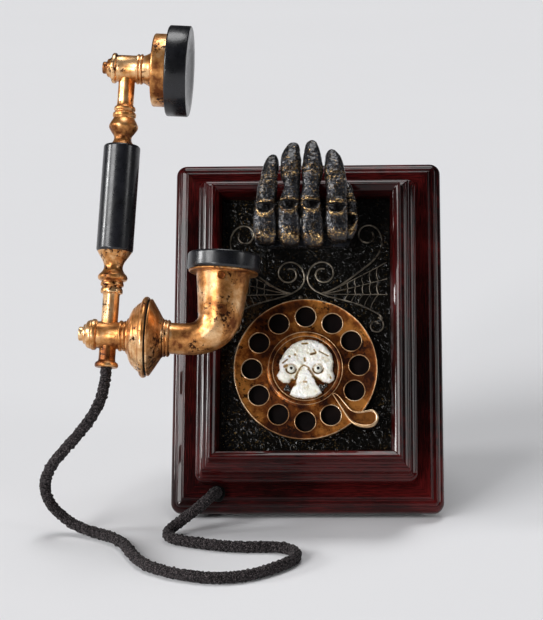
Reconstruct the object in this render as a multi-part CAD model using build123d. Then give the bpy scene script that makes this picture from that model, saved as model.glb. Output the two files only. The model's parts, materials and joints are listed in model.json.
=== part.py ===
from build123d import *
from math import cos, radians, sin, tan
import os

# Sloping desk telephone with a rotary dial, a skeleton-hand cradle and a candlestick-style handset.
#
# Millimetres, +X right, the front faces -Y, +Z up.  The origin is the middle of the rest face.
# Pieces on the sloping front are drawn in the board's own axes (x across, y up the slope from the
# lower edge, z out of the front) and then placed; handset pieces are drawn with z up the handle and
# x towards the earpiece.

# ---- sloping front board ---------------------------------------------------------------------
board_width = 178.0
board_height = 237.4
board_thickness = 15.5
board_corner = 7.0
lean_angle = 30.0            # the board leans back from upright
foot_height = 2.0            # thickness of the rubber pad under the phone
board_foot_y = -57.0         # where the board's lower back edge stands
window_side = 38.0           # rails left round the opening in the board
window_bottom = 40.0
window_top = 172.0
# steps of the board's edge: (inset from the outline, height over the back)
board_steps = [(0.8, 0.0), (0.0, 0.8), (0.0, 4.6), (0.7, 6.9), (2.4, 8.4), (3.8, 8.8), (4.6, 10.4),
               (6.6, 13.2), (7.6, 14.2), (7.8, board_thickness)]

# ---- raised picture-frame moulding -----------------------------------------------------------
raised_inset = 17.3
raised_corner = 5.5
mitre_corner = 0.6           # the steps with no room for a round corner are all but sharp
plate_inset = 34.0
ledge_inset = 38.0
plate_thickness = 3.0
plate_height = 38.0          # front of the face plate over the board's back
crest_base = 44.8
crest_height = 53.5
crest_inset = 28.3
throat_inset = 32.6
throat_height = 50.9
raised_steps = [(raised_inset, board_thickness), (raised_inset, 26.4), (18.2, 28.6), (20.6, 30.2),
                (21.4, 30.4), (21.8, 39.2), (22.8, 40.8), (26.2, 43.4), (27.0, crest_base)]
crest_steps = [(27.3, crest_base), (27.3, 51.8), (crest_inset, crest_height)]

# ---- rear housing ----------------------------------------------------------------------------
housing_width = 150.0
housing_depth = 110.0        # from the board's lower back edge to the back wall
housing_height = 156.0
housing_front = 4.0
housing_wall = 3.0
housing_round = 12.0
cover_thickness = 3.0
cover_gap = 0.3
grille_slots = 7
grille_slot_width = 2.4
grille_slot_length = 34.0
grille_pitch = 5.4
speaker_radius = 26.0
speaker_clearance = 2.0      # between the loudspeaker's rim and the start of the roof's rounding
speaker_depth = 16.0
switch_margin = 18.0         # of the knob, pushed outwards, inside the side wall
switch_height = 104.0
switch_travel = 6.0
switch_knob_width = 5.0
switch_knob_height = 4.0
switch_gap = 0.4
switch_wall = 3.0
switch_depth = 6.0
knob_seat = 3.6              # of the knob inside the back wall
knob_proud = 1.2
battery_radius = 7.2
battery_length = 50.0
battery_count = 3
battery_gap = 0.6            # between the cells, and between them and the tray and hatch
cell_button = 1.0
tray_wall = 2.0
door_width = 62.0
door_height = 54.0
door_gap = 0.3
door_lip = 2.0               # of the tray behind the hatch's edges
battery_x = -20.0
battery_up = 44.0            # middle of the battery hatch over the floor
circuit_margin = 6.0         # of the sound board inside the side wall
circuit_up = 52.0
circuit_width = 40.0
circuit_height = 50.0
circuit_thickness = 1.6
chip_height = 2.4
pillar_length = 6.0
pillar_radius = 2.0
screw_radius = 2.0
screw_head_radius = 3.6
screw_head = 1.6
screw_length = 13.6
boss_radius = 5.0
boss_height = 14.0
boss_margin = 9.0            # of a screw boss inside the housing's walls
pad_margin = 2.0             # of the rubber pad inside the cover's edge
pad_corner = 8.0

# ---- dial ------------------------------------------------------------------------------------
dial_up = 87.5               # dial centre up the slope from the lower edge
dial_radius = 46.4
dial_thickness = 2.0
dial_front = 44.0            # front of the finger wheel over the board's back
rim_bead = 1.0
dial_lip = 1.3               # of the rim turned back behind the wheel
hole_ring = 34.6
hole_radius = 6.6
hole_rim = 0.8
hole_pitch = 30.0
wide_holes = 8               # evenly pitched holes, counted anticlockwise from wide_start
wide_start = 60.0
near_pitch = 28.2            # the holes beside the finger stop stand closer
near_start = 31.8
near_holes = 3
last_hole = 298.2
backing_radius = 45.0
backing_thickness = 2.0
hub_radius = 23.8
hub_inner = 20.9
hub_floor = 0.8
hub_height = 2.6
eye_side = 8.6
eye_up = -0.9
eye_radius = 2.6
spindle_radius = 3.0
spindle_gap = 0.05
spindle_length = 29.0
bush_radius = 6.0
bush_gap = 0.15
bush_flange = 10.0
bush_flange_thickness = 2.0
bush_tail = 3.0              # of the bush behind the face plate
cam_radius = 9.0
cam_thickness = 3.0
cam_from_tail = 6.0          # of the cam's back from the spindle's rear end
frame_plate_width = 56.0
frame_plate_thickness = 2.0
frame_depth = 20.0           # of the dial frame behind the face plate
post_radius = 3.0
spring_strip = 0.6
spring_width = 3.0
spring_pitch = 2.2
spring_turns = 3
stop_foot = (40.2, -32.8)    # middle of the finger stop's bulb from the dial's centre
stop_bulb = 4.6
stop_post_radius = 3.8
stop_thickness = 2.4
stop_clearance = 0.6         # between the stop's lever and the finger wheel
stop_screw_head = 2.0

# ---- skeleton hand ---------------------------------------------------------------------------
hand_from_top = 66.4         # line where the grip rests, down from the board's upper edge
finger_width = 7.0           # half width of a finger at its middle joint
finger_depth = 6.2
finger_out = 79.4            # middle joints over the board's back
palm_width = 61.0
palm_out = 69.0              # front of the palm over the board's back
plunger_radius = 4.0
plunger_gap = 0.2
plunger_rise = 16.0          # of the plunger over the line where the grip rests
plunger_stroke = 3.0
plunger_proud = 5.0
plunger_tail = 6.0
switch_case = 16.0

# ---- handset ---------------------------------------------------------------------------------
# where the handle and the lower cross barrel meet, in the board's axes
handset_across = -123.5
handset_from_top = 135.2     # down the slope from the board's top edge
handset_out = 77.6
handset_lean = 24.2
handset_tilt = 3.4
barrel_span = 173.5          # from the lower cross barrel to the upper one
barrel_radius = 8.7
neck_radius = 5.3
socket_gap = 0.15
grip_low = 53.5
grip_high = 122.5
grip_radius = 11.75
rod_radius = 2.5
rod_seat = 6.2               # depth of the rod's hole in each neck
horn_out = 70.2              # horn mouth's axis from the handle's axis
horn_end = 43.0              # of the horn's casting, up from the lower barrel
capsule_radius = 12.5
capsule_seat = 10.0          # depth of the microphone's seat in the horn
cap_low = 44.6
cap_high = 55.3
cap_radius = 23.2
ear_cap_radius = 29.2
ear_cup_radius = 23.5
ferrule_end = -20.6

# ---- cord ------------------------------------------------------------------------------------
cord_radius = 3.6
cord_exit = (-58.0, 11.4)    # middle of the cord's hole in the lower margin, x and up the slope
grommet_radius = 5.2
grommet_proud = 0.8
grommet_depth = 8.0
cord_lift = 0.1              # of the cord over the floor where it lies


def board_frame(shape):
    """Place a shape drawn in the board's axes."""
    return Location((0, board_foot_y, foot_height), (90 - lean_angle, 0, 0)) * shape


def board_point(across, up, out):
    """A point given in the board's axes, in the part's frame."""
    lean = radians(lean_angle)
    return Vector(across, board_foot_y + up * sin(lean) - out * cos(lean),
                  foot_height + up * cos(lean) + out * sin(lean))


def handset_frame(shape):
    """Place a shape drawn in the handset's axes."""
    place = board_point(handset_across, board_height - handset_from_top, handset_out)
    return Location(place, (-handset_lean, handset_tilt, 0)) * shape


def turned(points):
    """Revolve a profile of (radius, height) points about z; a point with four numbers is an arc."""
    here = points[0]
    edges = []
    for point in points[1:]:
        there = point[-2:]
        if len(point) == 4:
            edges.append(ThreePointArc(here, point[:2], there))
        else:
            edges.append(Line(here, there))
        here = there
    start = points[0]
    if here[0] > 0:
        edges.append(Line(here, (0, here[1])))
    if start[0] > 0:
        edges.append(Line((0, start[1]), start))
    if here[1] != start[1]:
        edges.append(Line((0, here[1]), (0, start[1])))
    return revolve(Plane.XZ * make_face(edges), Axis.Z)


def crossways(shape):
    """Lay a shape turned about z along the handset's x."""
    return Rot(0, 90, 0) * shape


def rod(radius, low, high):
    """A round bar about z between two heights."""
    return Pos(0, 0, low) * Cylinder(radius, high - low, align=(Align.CENTER, Align.CENTER, Align.MIN))


def ring(outer, inner, low, high):
    """A plain ring about z between two heights."""
    return rod(outer, low, high) - rod(inner, low - 1, high + 1)


# ---- board and frame -------------------------------------------------------------------------
def loop(inset, height, edge_inset, corner):
    """One rounded rectangle of a moulding, with its corner radius shrinking inwards."""
    radius = max(corner - (inset - edge_inset), mitre_corner)
    return Pos(0, board_height / 2, height) * RectangleRounded(board_width - 2 * inset,
                                                              board_height - 2 * inset, radius)


def stepped(steps, edge_inset, corner):
    """Stack the steps of a moulding into one solid block."""
    block = None
    for (inset_low, low), (inset_high, high) in zip(steps, steps[1:]):
        tier = loft([loop(inset_low, low, edge_inset, corner),
                     loop(inset_high, high, edge_inset, corner)], ruled=True)
        block = tier if block is None else block + tier
    return block


def opening(inset, low, high, top_inset=None):
    """A block that clears a rectangular throat through the mouldings."""
    above = inset if top_inset is None else top_inset
    return loft([loop(inset, low, inset, 0), loop(above, high, above, 0)], ruled=True)


def base_board():
    """Moulded back board with a window for the works and a hole for the cord."""
    board = stepped(board_steps, 0, board_corner)
    window_height = window_top - window_bottom
    window = Box(board_width - 2 * window_side, window_height, 3 * board_thickness)
    board -= Pos(0, window_bottom + window_height / 2, board_thickness / 2) * window
    board -= Pos(*cord_exit) * Cylinder(grommet_radius + socket_gap, 3 * board_thickness)
    return board


def raised_moulding():
    """Stepped frame that stands on the board and holds the face plate on a ledge."""
    moulding = stepped(raised_steps, raised_inset, raised_corner)
    plate_back = plate_height - plate_thickness
    moulding -= opening(ledge_inset, board_thickness - 1, plate_back + 1)
    moulding -= opening(plate_inset, plate_back, crest_base + 1)
    return moulding


def crest_moulding():
    """Top moulding: an outer wall, a sharp crest and a slope down to the throat."""
    crest = stepped(crest_steps, crest_steps[0][0], 0)
    crest -= opening(plate_inset, crest_base - 1, crest_base)
    crest -= opening(plate_inset, crest_base, throat_height, throat_inset)
    crest -= opening(throat_inset, throat_height, crest_height + 0.01, crest_inset + 0.3)
    return crest


def face_plate():
    """Plate behind the dial and the hand."""
    width = board_width - 2 * (plate_inset + cover_gap)
    height = board_height - 2 * (plate_inset + cover_gap)
    plate_back = plate_height - plate_thickness
    plate = Pos(0, board_height / 2, plate_back + plate_thickness / 2) * Box(width, height, plate_thickness)
    plate -= Pos(0, dial_up, plate_back) * Cylinder(bush_radius + bush_gap, 20)
    plate -= Pos(0, plunger_up(), plate_back) * Cylinder(plunger_radius + plunger_gap, 20)
    return plate


# ---- rear housing ----------------------------------------------------------------------------
def slope_y(height):
    """Where the board's back is, at a height over the floor."""
    return board_foot_y + (height - foot_height) * tan(radians(lean_angle))


def roof_round():
    """Radius along the housing's upper back edge, which its roof limits."""
    roof = board_foot_y + housing_depth - slope_y(housing_height)
    return min(housing_round, roof / 2)


def speaker_height():
    """Middle of the loudspeaker over the floor, just under the roof's rounding."""
    return housing_height - housing_round - speaker_radius - speaker_clearance


def upper_back_edge(block):
    """The block's edge along x that lies highest and furthest back."""
    return block.edges().filter_by(Axis.X).sort_by(lambda edge: edge.center().Y + edge.center().Z)[-1]


def housing_block():
    """The housing's solid wedge between the board, the back wall and the floor."""
    back = board_foot_y + housing_depth
    front = board_foot_y + housing_front
    front_top = foot_height + housing_front / tan(radians(lean_angle))
    outline = Polyline((front, foot_height), (front, front_top), (slope_y(housing_height), housing_height),
                       (back, housing_height), (back, foot_height), close=True)
    wedge = extrude(Plane.YZ * make_face(outline), housing_width / 2, both=True)
    return fillet(upper_back_edge(wedge), roof_round())


def rear_housing():
    """Wedge-shaped shell, open to the board and at the bottom, with sound slots in its back."""
    inside_height = housing_height - housing_wall
    front = board_foot_y + housing_front + housing_wall
    back, outer = back_wall()
    hollow = Pos(0, (front + back) / 2, inside_height / 2) * Box(housing_width - 2 * housing_wall,
                                                                back - front, inside_height)
    inner_round = max(roof_round() - housing_wall, housing_wall / 2)
    shell = housing_block() - fillet(upper_back_edge(hollow), inner_round)
    wall_middle = (back + outer) / 2
    slot_face = SlotOverall(grille_slot_length, grille_slot_width)
    slot = Rot(90, 0, 0) * extrude(slot_face, housing_wall, both=True)
    for index in range(grille_slots):
        rise = (index - (grille_slots - 1) / 2) * grille_pitch
        shell -= Pos(0, wall_middle, speaker_height() + rise) * slot
    track = Box(switch_travel + switch_knob_width + 2 * switch_gap, 3 * housing_wall,
                switch_knob_height + 2 * switch_gap)
    shell -= Pos(switch_x() + switch_travel / 2, wall_middle, switch_height) * track
    hatch = Box(door_width + 2 * door_gap, 3 * housing_wall, door_height + 2 * door_gap)
    shell -= Pos(battery_x, wall_middle, battery_up) * hatch
    floor = foot_height + cover_thickness
    for x, y in boss_places():
        side = 1 if x > 0 else -1
        wall_x = side * (housing_width / 2 - housing_wall)
        rib = Pos((x + wall_x) / 2, y, floor + boss_height / 2) * Box(abs(wall_x - x), 2, boss_height)
        boss = Pos(x, y, 0) * rod(boss_radius, floor, floor + boss_height)
        shell += boss + rib
        shell -= Pos(x, y, 0) * rod(screw_radius + socket_gap, 0, floor + boss_height - housing_wall)
    return shell


def cover_size():
    """Width, depth and middle of the bottom cover, inside the housing's walls."""
    width = housing_width - 2 * (housing_wall + cover_gap)
    front = board_foot_y + housing_front + housing_wall + cover_gap
    back = board_foot_y + housing_depth - housing_wall - cover_gap
    return width, back - front, (front + back) / 2


def boss_places():
    """Centres of the four screw bosses over the bottom cover."""
    width, depth, middle = cover_size()
    across = width / 2 - boss_margin
    along = depth / 2 - boss_margin
    return [(side * across, middle + end * along) for side in (-1, 1) for end in (-1, 1)]


def bottom_cover():
    """Flat cover inside the housing's walls, with countersunk screw holes."""
    width, depth, middle = cover_size()
    cover = Pos(0, middle, foot_height + cover_thickness / 2) * Box(width, depth, cover_thickness)
    for x, y in boss_places():
        cover -= Pos(x, y, 0) * rod(screw_radius + socket_gap, 0, 20)
        head_room = foot_height + screw_head + 2 * socket_gap
        cover -= Pos(x, y, 0) * rod(screw_head_radius + socket_gap, 0, head_room)
    return cover


def base_pad():
    """Rubber sheet that the phone stands on."""
    width, depth, middle = cover_size()
    sheet = RectangleRounded(width - 2 * pad_margin, depth - 2 * pad_margin, pad_corner)
    return extrude(Pos(0, middle, 0) * sheet, foot_height, dir=(0, 0, 1))


def cover_screws():
    """Four screws through the cover into the housing's bosses."""
    low = foot_height + socket_gap
    screw = rod(screw_head_radius, low, low + screw_head) + rod(screw_radius, low, low + screw_length)
    return Compound(children=[Pos(x, y, 0) * screw for x, y in boss_places()])


def back_wall():
    """The back wall's inner and outer faces along y."""
    outer = board_foot_y + housing_depth
    return outer - housing_wall, outer


def battery_door():
    """Flush hatch in the back wall, with a finger groove."""
    inner, outer = back_wall()
    door = Pos(battery_x, (inner + outer) / 2, battery_up) * Box(door_width, housing_wall, door_height)
    groove = Pos(battery_x, outer, battery_up + door_height / 2 - 8) * Box(door_width / 2, 1.6, 3)
    return door - groove


def battery_tray():
    """Box behind the hatch that holds the cells."""
    inner = back_wall()[0]
    pocket_depth = 2 * (battery_radius + battery_gap)
    depth = pocket_depth + tray_wall
    tray = Box(door_width + 2 * door_lip, depth, door_height + 2 * door_lip)
    pocket = Box(door_width - tray_wall, pocket_depth, door_height - tray_wall)
    return (Pos(battery_x, inner - depth / 2, battery_up) * tray
            - Pos(battery_x, inner - pocket_depth / 2, battery_up) * pocket)


def batteries():
    """Round cells lying one over the other behind the hatch."""
    inner = back_wall()[0]
    pitch = 2 * battery_radius + battery_gap
    shoulder = battery_length - cell_button
    cell = crossways(turned([(0, 0), (battery_radius - 0.5, 0), (battery_radius, 0.5),
                             (battery_radius, shoulder - 0.6), (battery_radius - 0.8, shoulder),
                             (2.6, shoulder), (2.6, battery_length), (0, battery_length)]))
    cells = []
    for index in range(battery_count):
        up = battery_up + (index - (battery_count - 1) / 2) * pitch
        cells.append(Pos(battery_x - battery_length / 2, inner - battery_radius - battery_gap, up) * cell)
    return Compound(children=cells)


def speaker():
    """Loudspeaker against the inside of the back wall."""
    basket = turned([(0, 0), (speaker_radius, 0), (speaker_radius, 2), (speaker_radius - 3, 2.5),
                     (12, speaker_depth - 7), (12, speaker_depth), (0, speaker_depth)])
    cone = turned([(0, -1), (speaker_radius - 4, -1), (speaker_radius - 4, 0), (6, 5), (0, 5)])
    return Pos(0, back_wall()[0], speaker_height()) * Rot(90, 0, 0) * (basket - cone)


def circuit_board():
    """Sound board on four pillars on the back wall, with its chips."""
    inner = back_wall()[0]
    face = inner - pillar_length - circuit_thickness
    sheet = Box(circuit_width, circuit_thickness, circuit_height)
    board = Pos(0, face + circuit_thickness / 2, 0) * sheet
    # chips: (x, z, width, height)
    for x, z, width, height in [(-8, 8, 12, 10), (8, -8, 8, 8), (-10, -14, 6, 12)]:
        board += Pos(x, face - chip_height / 2, z) * Box(width, chip_height, height)
    pillar = Rot(90, 0, 0) * Cylinder(pillar_radius, pillar_length)
    x = circuit_width / 2 - 1.5 * pillar_radius
    z = circuit_height / 2 - 1.5 * pillar_radius
    for side, end in ((-1, -1), (-1, 1), (1, -1), (1, 1)):
        board += Pos(side * x, inner - pillar_length / 2, end * z) * pillar
    across = housing_width / 2 - housing_wall - circuit_margin - circuit_width / 2
    return Pos(across, 0, circuit_up) * board


def switch_x():
    """The switch knob's place across the back, pushed outwards."""
    return switch_margin + housing_wall - housing_width / 2


def power_switch_body():
    """Slide switch's case behind the back wall."""
    inner = back_wall()[0]
    track = switch_travel + switch_knob_width + 2 * switch_gap
    centre = switch_x() + switch_travel / 2
    case = Box(track + 2 * switch_wall, switch_depth, switch_knob_height + 2 * switch_wall)
    pocket = Box(track, 2 * (knob_seat + switch_gap), switch_knob_height + 2 * switch_gap)
    return (Pos(centre, inner - switch_depth / 2, switch_height) * case
            - Pos(centre, inner, switch_height) * pocket)


def power_switch_knob():
    """Sliding knob that stands just out of the back."""
    inner = back_wall()[0]
    length = knob_seat + housing_wall + knob_proud
    knob = Box(switch_knob_width, length, switch_knob_height)
    knob = fillet(knob.edges().filter_by(Axis.Z).sort_by(Axis.Y)[-2:], 0.8)
    return Pos(switch_x(), inner - knob_seat + length / 2, switch_height) * knob


# ---- dial ------------------------------------------------------------------------------------
def at_dial(shape):
    """Place a shape drawn about the dial's axis, with z out of the front."""
    return board_frame(Pos(0, dial_up, 0) * shape)


def hole_angles():
    """Directions of the twelve finger holes."""
    wide = [wide_start + hole_pitch * index for index in range(wide_holes)]
    near = [near_start - near_pitch * index for index in range(near_holes)]
    return wide + near + [last_hole]


def dial_backing():
    """Fixed black disc that shows through the finger holes."""
    disc = rod(backing_radius, plate_height, plate_height + backing_thickness)
    return disc - rod(bush_flange + bush_gap, 0, 2 * plate_height)


def dial_wheel():
    """Finger wheel with a rolled rim and beaded holes."""
    back = dial_front - dial_thickness
    inside_lip = dial_radius - dial_lip
    wheel = turned([(0, back), (inside_lip, back), (inside_lip, back - dial_lip),
                    (dial_radius, back - dial_lip), (dial_radius, dial_front),
                    (dial_radius - rim_bead, dial_front + rim_bead * 0.8,
                     dial_radius - 2 * rim_bead, dial_front), (0, dial_front)])
    wheel -= rod(spindle_radius, 0, 2 * dial_front)
    bead = ring(hole_radius + hole_rim, hole_radius, dial_front - 0.2, dial_front + 0.5)
    for angle in hole_angles():
        spot = Pos(hole_ring * cos(radians(angle)), hole_ring * sin(radians(angle)), 0)
        wheel += spot * bead
        wheel -= spot * rod(hole_radius, 0, 2 * dial_front)
    return wheel


def dial_hub():
    """Ring and floor that hold the medallion."""
    floor = dial_front + hub_floor
    top = dial_front + hub_height
    return turned([(0, dial_front), (hub_radius, dial_front), (hub_radius, top - 1.2),
                   (hub_radius - 0.9, top), (hub_inner + 0.3, top - 0.2), (hub_inner, top - 1.0),
                   (hub_inner, floor), (0, floor)])


def skull_medallion():
    """Relief of a skull: a domed cranium, cheekbones, sockets and a flared upper jaw."""
    floor = dial_front + hub_floor
    dome_radius = 17.4
    skull = Pos(0, 2.0, floor) * turned([(0, 7.0), (12.6, 5.2, dome_radius, 0.6), (dome_radius - 0.4, 0),
                                         (0, 0)])
    for side in (-1, 1):
        cheek = turned([(0, 4.6), (3.4, 3.4, 4.8, 0.6), (4.6, 0), (0, 0)])
        skull += Pos(side * 13.6, -6.6, floor) * cheek
    jaw = make_face(Polyline((-2.2, 2.0), (-5.2, -9.0), (-9.4, -17.6), (-5.0, -19.3), (5.0, -19.3),
                             (9.4, -17.6), (5.2, -9.0), (2.2, 2.0), close=True))
    skull += Pos(0, 0, floor) * extrude(jaw, 6.4, taper=12)
    for side in (-1, 1):
        skull -= Pos(side * eye_side, eye_up, floor + 8.2) * Sphere(5.2)
        skull -= Pos(side * 7.4, -8.6, floor + 6.0) * Sphere(3.2)
    return skull


def skull_eyes():
    """Two round eyes seated in the sockets."""
    floor = dial_front + hub_floor
    eyes = []
    for side in (-1, 1):
        ball = Pos(side * eye_side, eye_up, floor + 3.3 + eye_radius) * Sphere(eye_radius)
        eyes.append(ball)
    return Compound(children=eyes)


def dial_spindle():
    """Steel spindle that carries the wheel, from its hub back to the dial frame."""
    return rod(spindle_radius, dial_front - spindle_length, dial_front)


def dial_bush():
    """Flanged bearing pressed in the face plate."""
    front = plate_height + bush_flange_thickness
    body = rod(bush_radius, plate_height - plate_thickness - bush_tail, front)
    body += rod(bush_flange, plate_height, front)
    return body - rod(spindle_radius + spindle_gap, 0, 2 * front)


def cam_levels():
    """Back and front of the cam on the spindle."""
    low = dial_front - spindle_length + cam_from_tail
    return low, low + cam_thickness


def pulse_cam():
    """Toothed cam on the spindle that makes the dial pulses."""
    low, high = cam_levels()
    cam = rod(cam_radius, low, high)
    notch = rod(1.3, low - 1, high + 1)
    for angle in range(0, 360, 30):
        cam -= Pos(cam_radius * cos(radians(angle)), cam_radius * sin(radians(angle)), 0) * notch
    return cam - rod(spindle_radius, low - 1, high + 1)


def frame_levels():
    """Back and front of the dial frame's plate."""
    front = plate_height - plate_thickness - frame_depth + frame_plate_thickness
    return front - frame_plate_thickness, front


def dial_frame():
    """Plate on four posts behind the face plate, with the spindle's rear bearing."""
    back, front = frame_levels()
    sheet = Box(frame_plate_width, frame_plate_width, frame_plate_thickness)
    plate = Pos(0, 0, (back + front) / 2) * sheet
    reach = frame_plate_width / 2 - post_radius - 2
    for x, y in ((-reach, -reach), (reach, -reach), (-reach, reach), (reach, reach)):
        plate += Pos(x, y, 0) * rod(post_radius, back, plate_height - plate_thickness)
    return plate - rod(spindle_radius + spindle_gap, 0, 2 * plate_height)


def return_spring():
    """Flat spiral spring that turns the dial back, laid as half turns of growing radius."""
    low = cam_levels()[1] + 2
    radius = spindle_radius + 0.3 + spring_strip / 2
    edges = []
    x = 0.0
    for half in range(2 * spring_turns):
        side = 1 if half % 2 == 0 else -1
        start = x + side * radius
        edges.append(CenterArc((x, 0), radius, 0 if side == 1 else 180, 180))
        grown = radius + spring_pitch / 2
        x = start - side * 2 * radius + side * grown
        radius = grown
    path = Wire(edges)
    first = edges[0] @ 0
    strip = Plane(origin=(first.X, first.Y, low + spring_width / 2), x_dir=(1, 0, 0),
                  z_dir=(0, 1, 0)) * Rectangle(spring_strip, spring_width)
    return sweep(strip, Pos(0, 0, low + spring_width / 2) * path)


def pulse_contacts():
    """Contact block with a leaf beside the cam."""
    low, high = cam_levels()
    seat = frame_levels()[1]
    block = Pos(cam_radius + 11, 0, (seat + high + 1) / 2) * Box(6, 14, high + 1 - seat)
    leaf = Pos(cam_radius + 4.5, 0, (low + high) / 2) * Box(7.0, 10, 0.6)
    return block + leaf


def finger_stop():
    """Comma-shaped stop: its bulb is screwed to the face plate and its lever reaches over the wheel."""
    x, y = stop_foot
    low = dial_front + rim_bead + stop_clearance
    upper = Spline((17.0, -16.6), (22.6, -21.4), (27.2, -27.0), (33.2, -29.2), (x, y + stop_bulb),
                   tangents=[(1, -0.6), (1, 0.1)])
    lower = Spline((x, y - stop_bulb), (31.2, -36.4), (24.6, -29.4), (20.4, -21.8), (17.0, -16.6),
                   tangents=[(-1, 0), (-0.5, 1)])
    bulb = ThreePointArc((x, y + stop_bulb), (x + stop_bulb, y), (x, y - stop_bulb))
    lever = extrude(Pos(0, 0, low) * make_face([upper, bulb, lower]), stop_thickness, dir=(0, 0, 1))
    post = Pos(x, y, 0) * rod(stop_post_radius, plate_height, low + stop_thickness / 2)
    swept = rod(dial_radius + stop_clearance, 0, low)
    return lever + (post - swept)


def stop_screw():
    """Screw that holds the finger stop from behind the face plate."""
    x, y = stop_foot
    back = plate_height - plate_thickness
    return Pos(x, y, 0) * rod(screw_head_radius, back - stop_screw_head, back)


# ---- hook switch -----------------------------------------------------------------------------
def plunger_up():
    """The plunger's place up the slope."""
    return board_height - hand_from_top + plunger_rise


def hook_plunger():
    """Sprung button behind the fingers, pressed by the grip when it hangs in the hand."""
    tail = plate_height - plate_thickness - plunger_tail
    tip = plate_height + plunger_proud
    return Pos(0, plunger_up(), 0) * turned([(0, tail), (plunger_radius, tail), (plunger_radius, tip - 1.6),
                                             (plunger_radius - 1.6, tip), (0, tip)])


def hook_switch():
    """Switch case behind the face plate, with a pocket for the plunger's stroke."""
    back = plate_height - plate_thickness
    case = Pos(0, 0, back - switch_case / 2) * Box(switch_case + 2, switch_case, switch_case)
    floor = back - plunger_tail - plunger_stroke - plunger_gap
    return Pos(0, plunger_up(), 0) * (case - rod(plunger_radius + plunger_gap, floor, back + 1))


# ---- skeleton hand ---------------------------------------------------------------------------
def at_hand(shape):
    """Place a shape drawn from the line where the grip rests, y up the slope and z out of the front."""
    return Pos(0, board_height - hand_from_top, 0) * shape


def bone_chain(joints):
    """Loft one finger through (x, y, out, half width, half depth) sections along its length."""
    sections = []
    last = len(joints) - 1
    for index, (x, y, out, half_width, half_depth) in enumerate(joints):
        before = joints[max(index - 1, 0)]
        after = joints[min(index + 1, last)]
        heading = Vector(0, after[1] - before[1], after[2] - before[2])
        plane = Plane(origin=(x, y, out), x_dir=(1, 0, 0), z_dir=heading)
        sections.append(plane * Ellipse(half_width, half_depth))
    return at_hand(loft(sections))


def finger(places):
    """One finger through the (x, y) places of its knuckle, middle joint, end joint and tip."""
    knuckle, middle, end, tip = places

    def between(one, other, share):
        return one[0] + (other[0] - one[0]) * share, one[1] + (other[1] - one[1]) * share

    # place, out from the middle joint, and shares of the finger's width and depth
    stations = [(knuckle, -9.0, 0.88, 0.80), (between(knuckle, middle, 0.3), -3.9, 0.94, 0.92),
                (between(knuckle, middle, 0.65), -1.4, 0.94, 0.90), (middle, 0.0, 0.97, 1.0),
                (between(middle, end, 0.5), -0.6, 0.84, 0.80), (end, -0.8, 0.92, 0.94),
                (between(end, tip, 0.35), -2.4, 0.80, 0.78), (between(end, tip, 0.7), -4.4, 0.62, 0.62),
                (tip, -7.0, 0.28, 0.25)]
    return bone_chain([(*place, finger_out + out, finger_width * wide, finger_depth * deep)
                       for place, out, wide, deep in stations])


def little_finger():
    return finger([(-24.3, -6.5), (-23.3, 9.0), (-22.3, 32.0), (-20.1, 51.5)])


def ring_finger():
    return finger([(-9.6, -8.0), (-8.9, 13.5), (-8.1, 36.5), (-5.9, 58.0)])


def middle_finger():
    return finger([(5.4, -8.0), (5.7, 13.0), (5.6, 36.0), (4.3, 59.5)])


def index_finger():
    return finger([(20.2, -6.5), (20.3, 12.0), (19.3, 33.0), (17.1, 53.0)])


def thumb():
    """Short thumb that stands behind the index finger, at the right of the palm."""
    return bone_chain([(28.6, -3.5, 65.5, 3.8, 4.4), (29.9, 5.0, 68.0, 4.2, 4.6),
                       (30.4, 12.0, 68.6, 3.7, 4.2), (29.6, 19.5, 68.6, 3.7, 4.2),
                       (28.4, 27.0, 68.2, 3.3, 3.7), (27.4, 34.5, 67.2, 1.6, 1.9)])


def hand_palm():
    """Palm that grows out of the face plate, slopes down to the knuckles and carries the fingers."""
    # share of the palm's width, lower and upper faces, and distance over the board's back
    sections = [(0.86, -1.6, 9.6, plate_height), (0.92, -4.6, 5.0, plate_height + 10.0),
                (0.98, -7.2, 1.2, plate_height + 20.0), (1.0, -9.0, -0.4, palm_out)]
    loops = []
    for share, low, high, out in sections:
        thick = high - low
        outline = RectangleRounded(palm_width * share, thick, thick * 0.4)
        loops.append(Pos(-1.0, (low + high) / 2, out) * outline)
    palm = at_hand(loft(loops))
    for bones in (little_finger(), ring_finger(), middle_finger(), index_finger(), thumb()):
        palm -= bones
    return palm


# ---- handset ---------------------------------------------------------------------------------
def upper(shape):
    """Place a shape drawn about the upper cross barrel."""
    return Pos(0, 0, barrel_span) * crossways(shape)


def receiver_cap():
    """Black ear cap with a shallow dish and sound holes."""
    cap = turned([(0, 34.6), (20.0, 34.6), (20.0, 26.3), (ear_cap_radius - 0.8, 26.3), (ear_cap_radius, 27.1),
                  (ear_cap_radius, 39.2), (ear_cap_radius - 1.2, 40.3), (22.0, 40.3), (8.0, 37.6), (0, 37.6)])
    cap -= rod(1.1, 30, 45)
    for index in range(6):
        angle = radians(60 * index)
        cap -= Pos(5 * cos(angle), 5 * sin(angle), 0) * rod(1.1, 30, 45)
    return upper(cap)


def receiver_capsule():
    """Sound capsule between the cup and the cap."""
    return upper(rod(19.7, 26.0, 34.3))


def receiver_cup():
    """Metal cup with a flared throat behind the ear cap."""
    return upper(turned([(8.8, 10.2), (9.6, 12.0, 11.9, 14.6), (22.6, 15.0), (ear_cup_radius, 15.8),
                         (ear_cup_radius, 25.9), (21.6, 25.9), (21.6, 17.4), (0, 17.4), (0, 10.2)]))


def barrel(left, right, rings):
    """Cross barrel along x with raised rings, each given by its ends and height."""
    body = rod(barrel_radius, left, right)
    for low, high, proud in rings:
        body += rod(barrel_radius + proud, low, high)
    return crossways(body)


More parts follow.
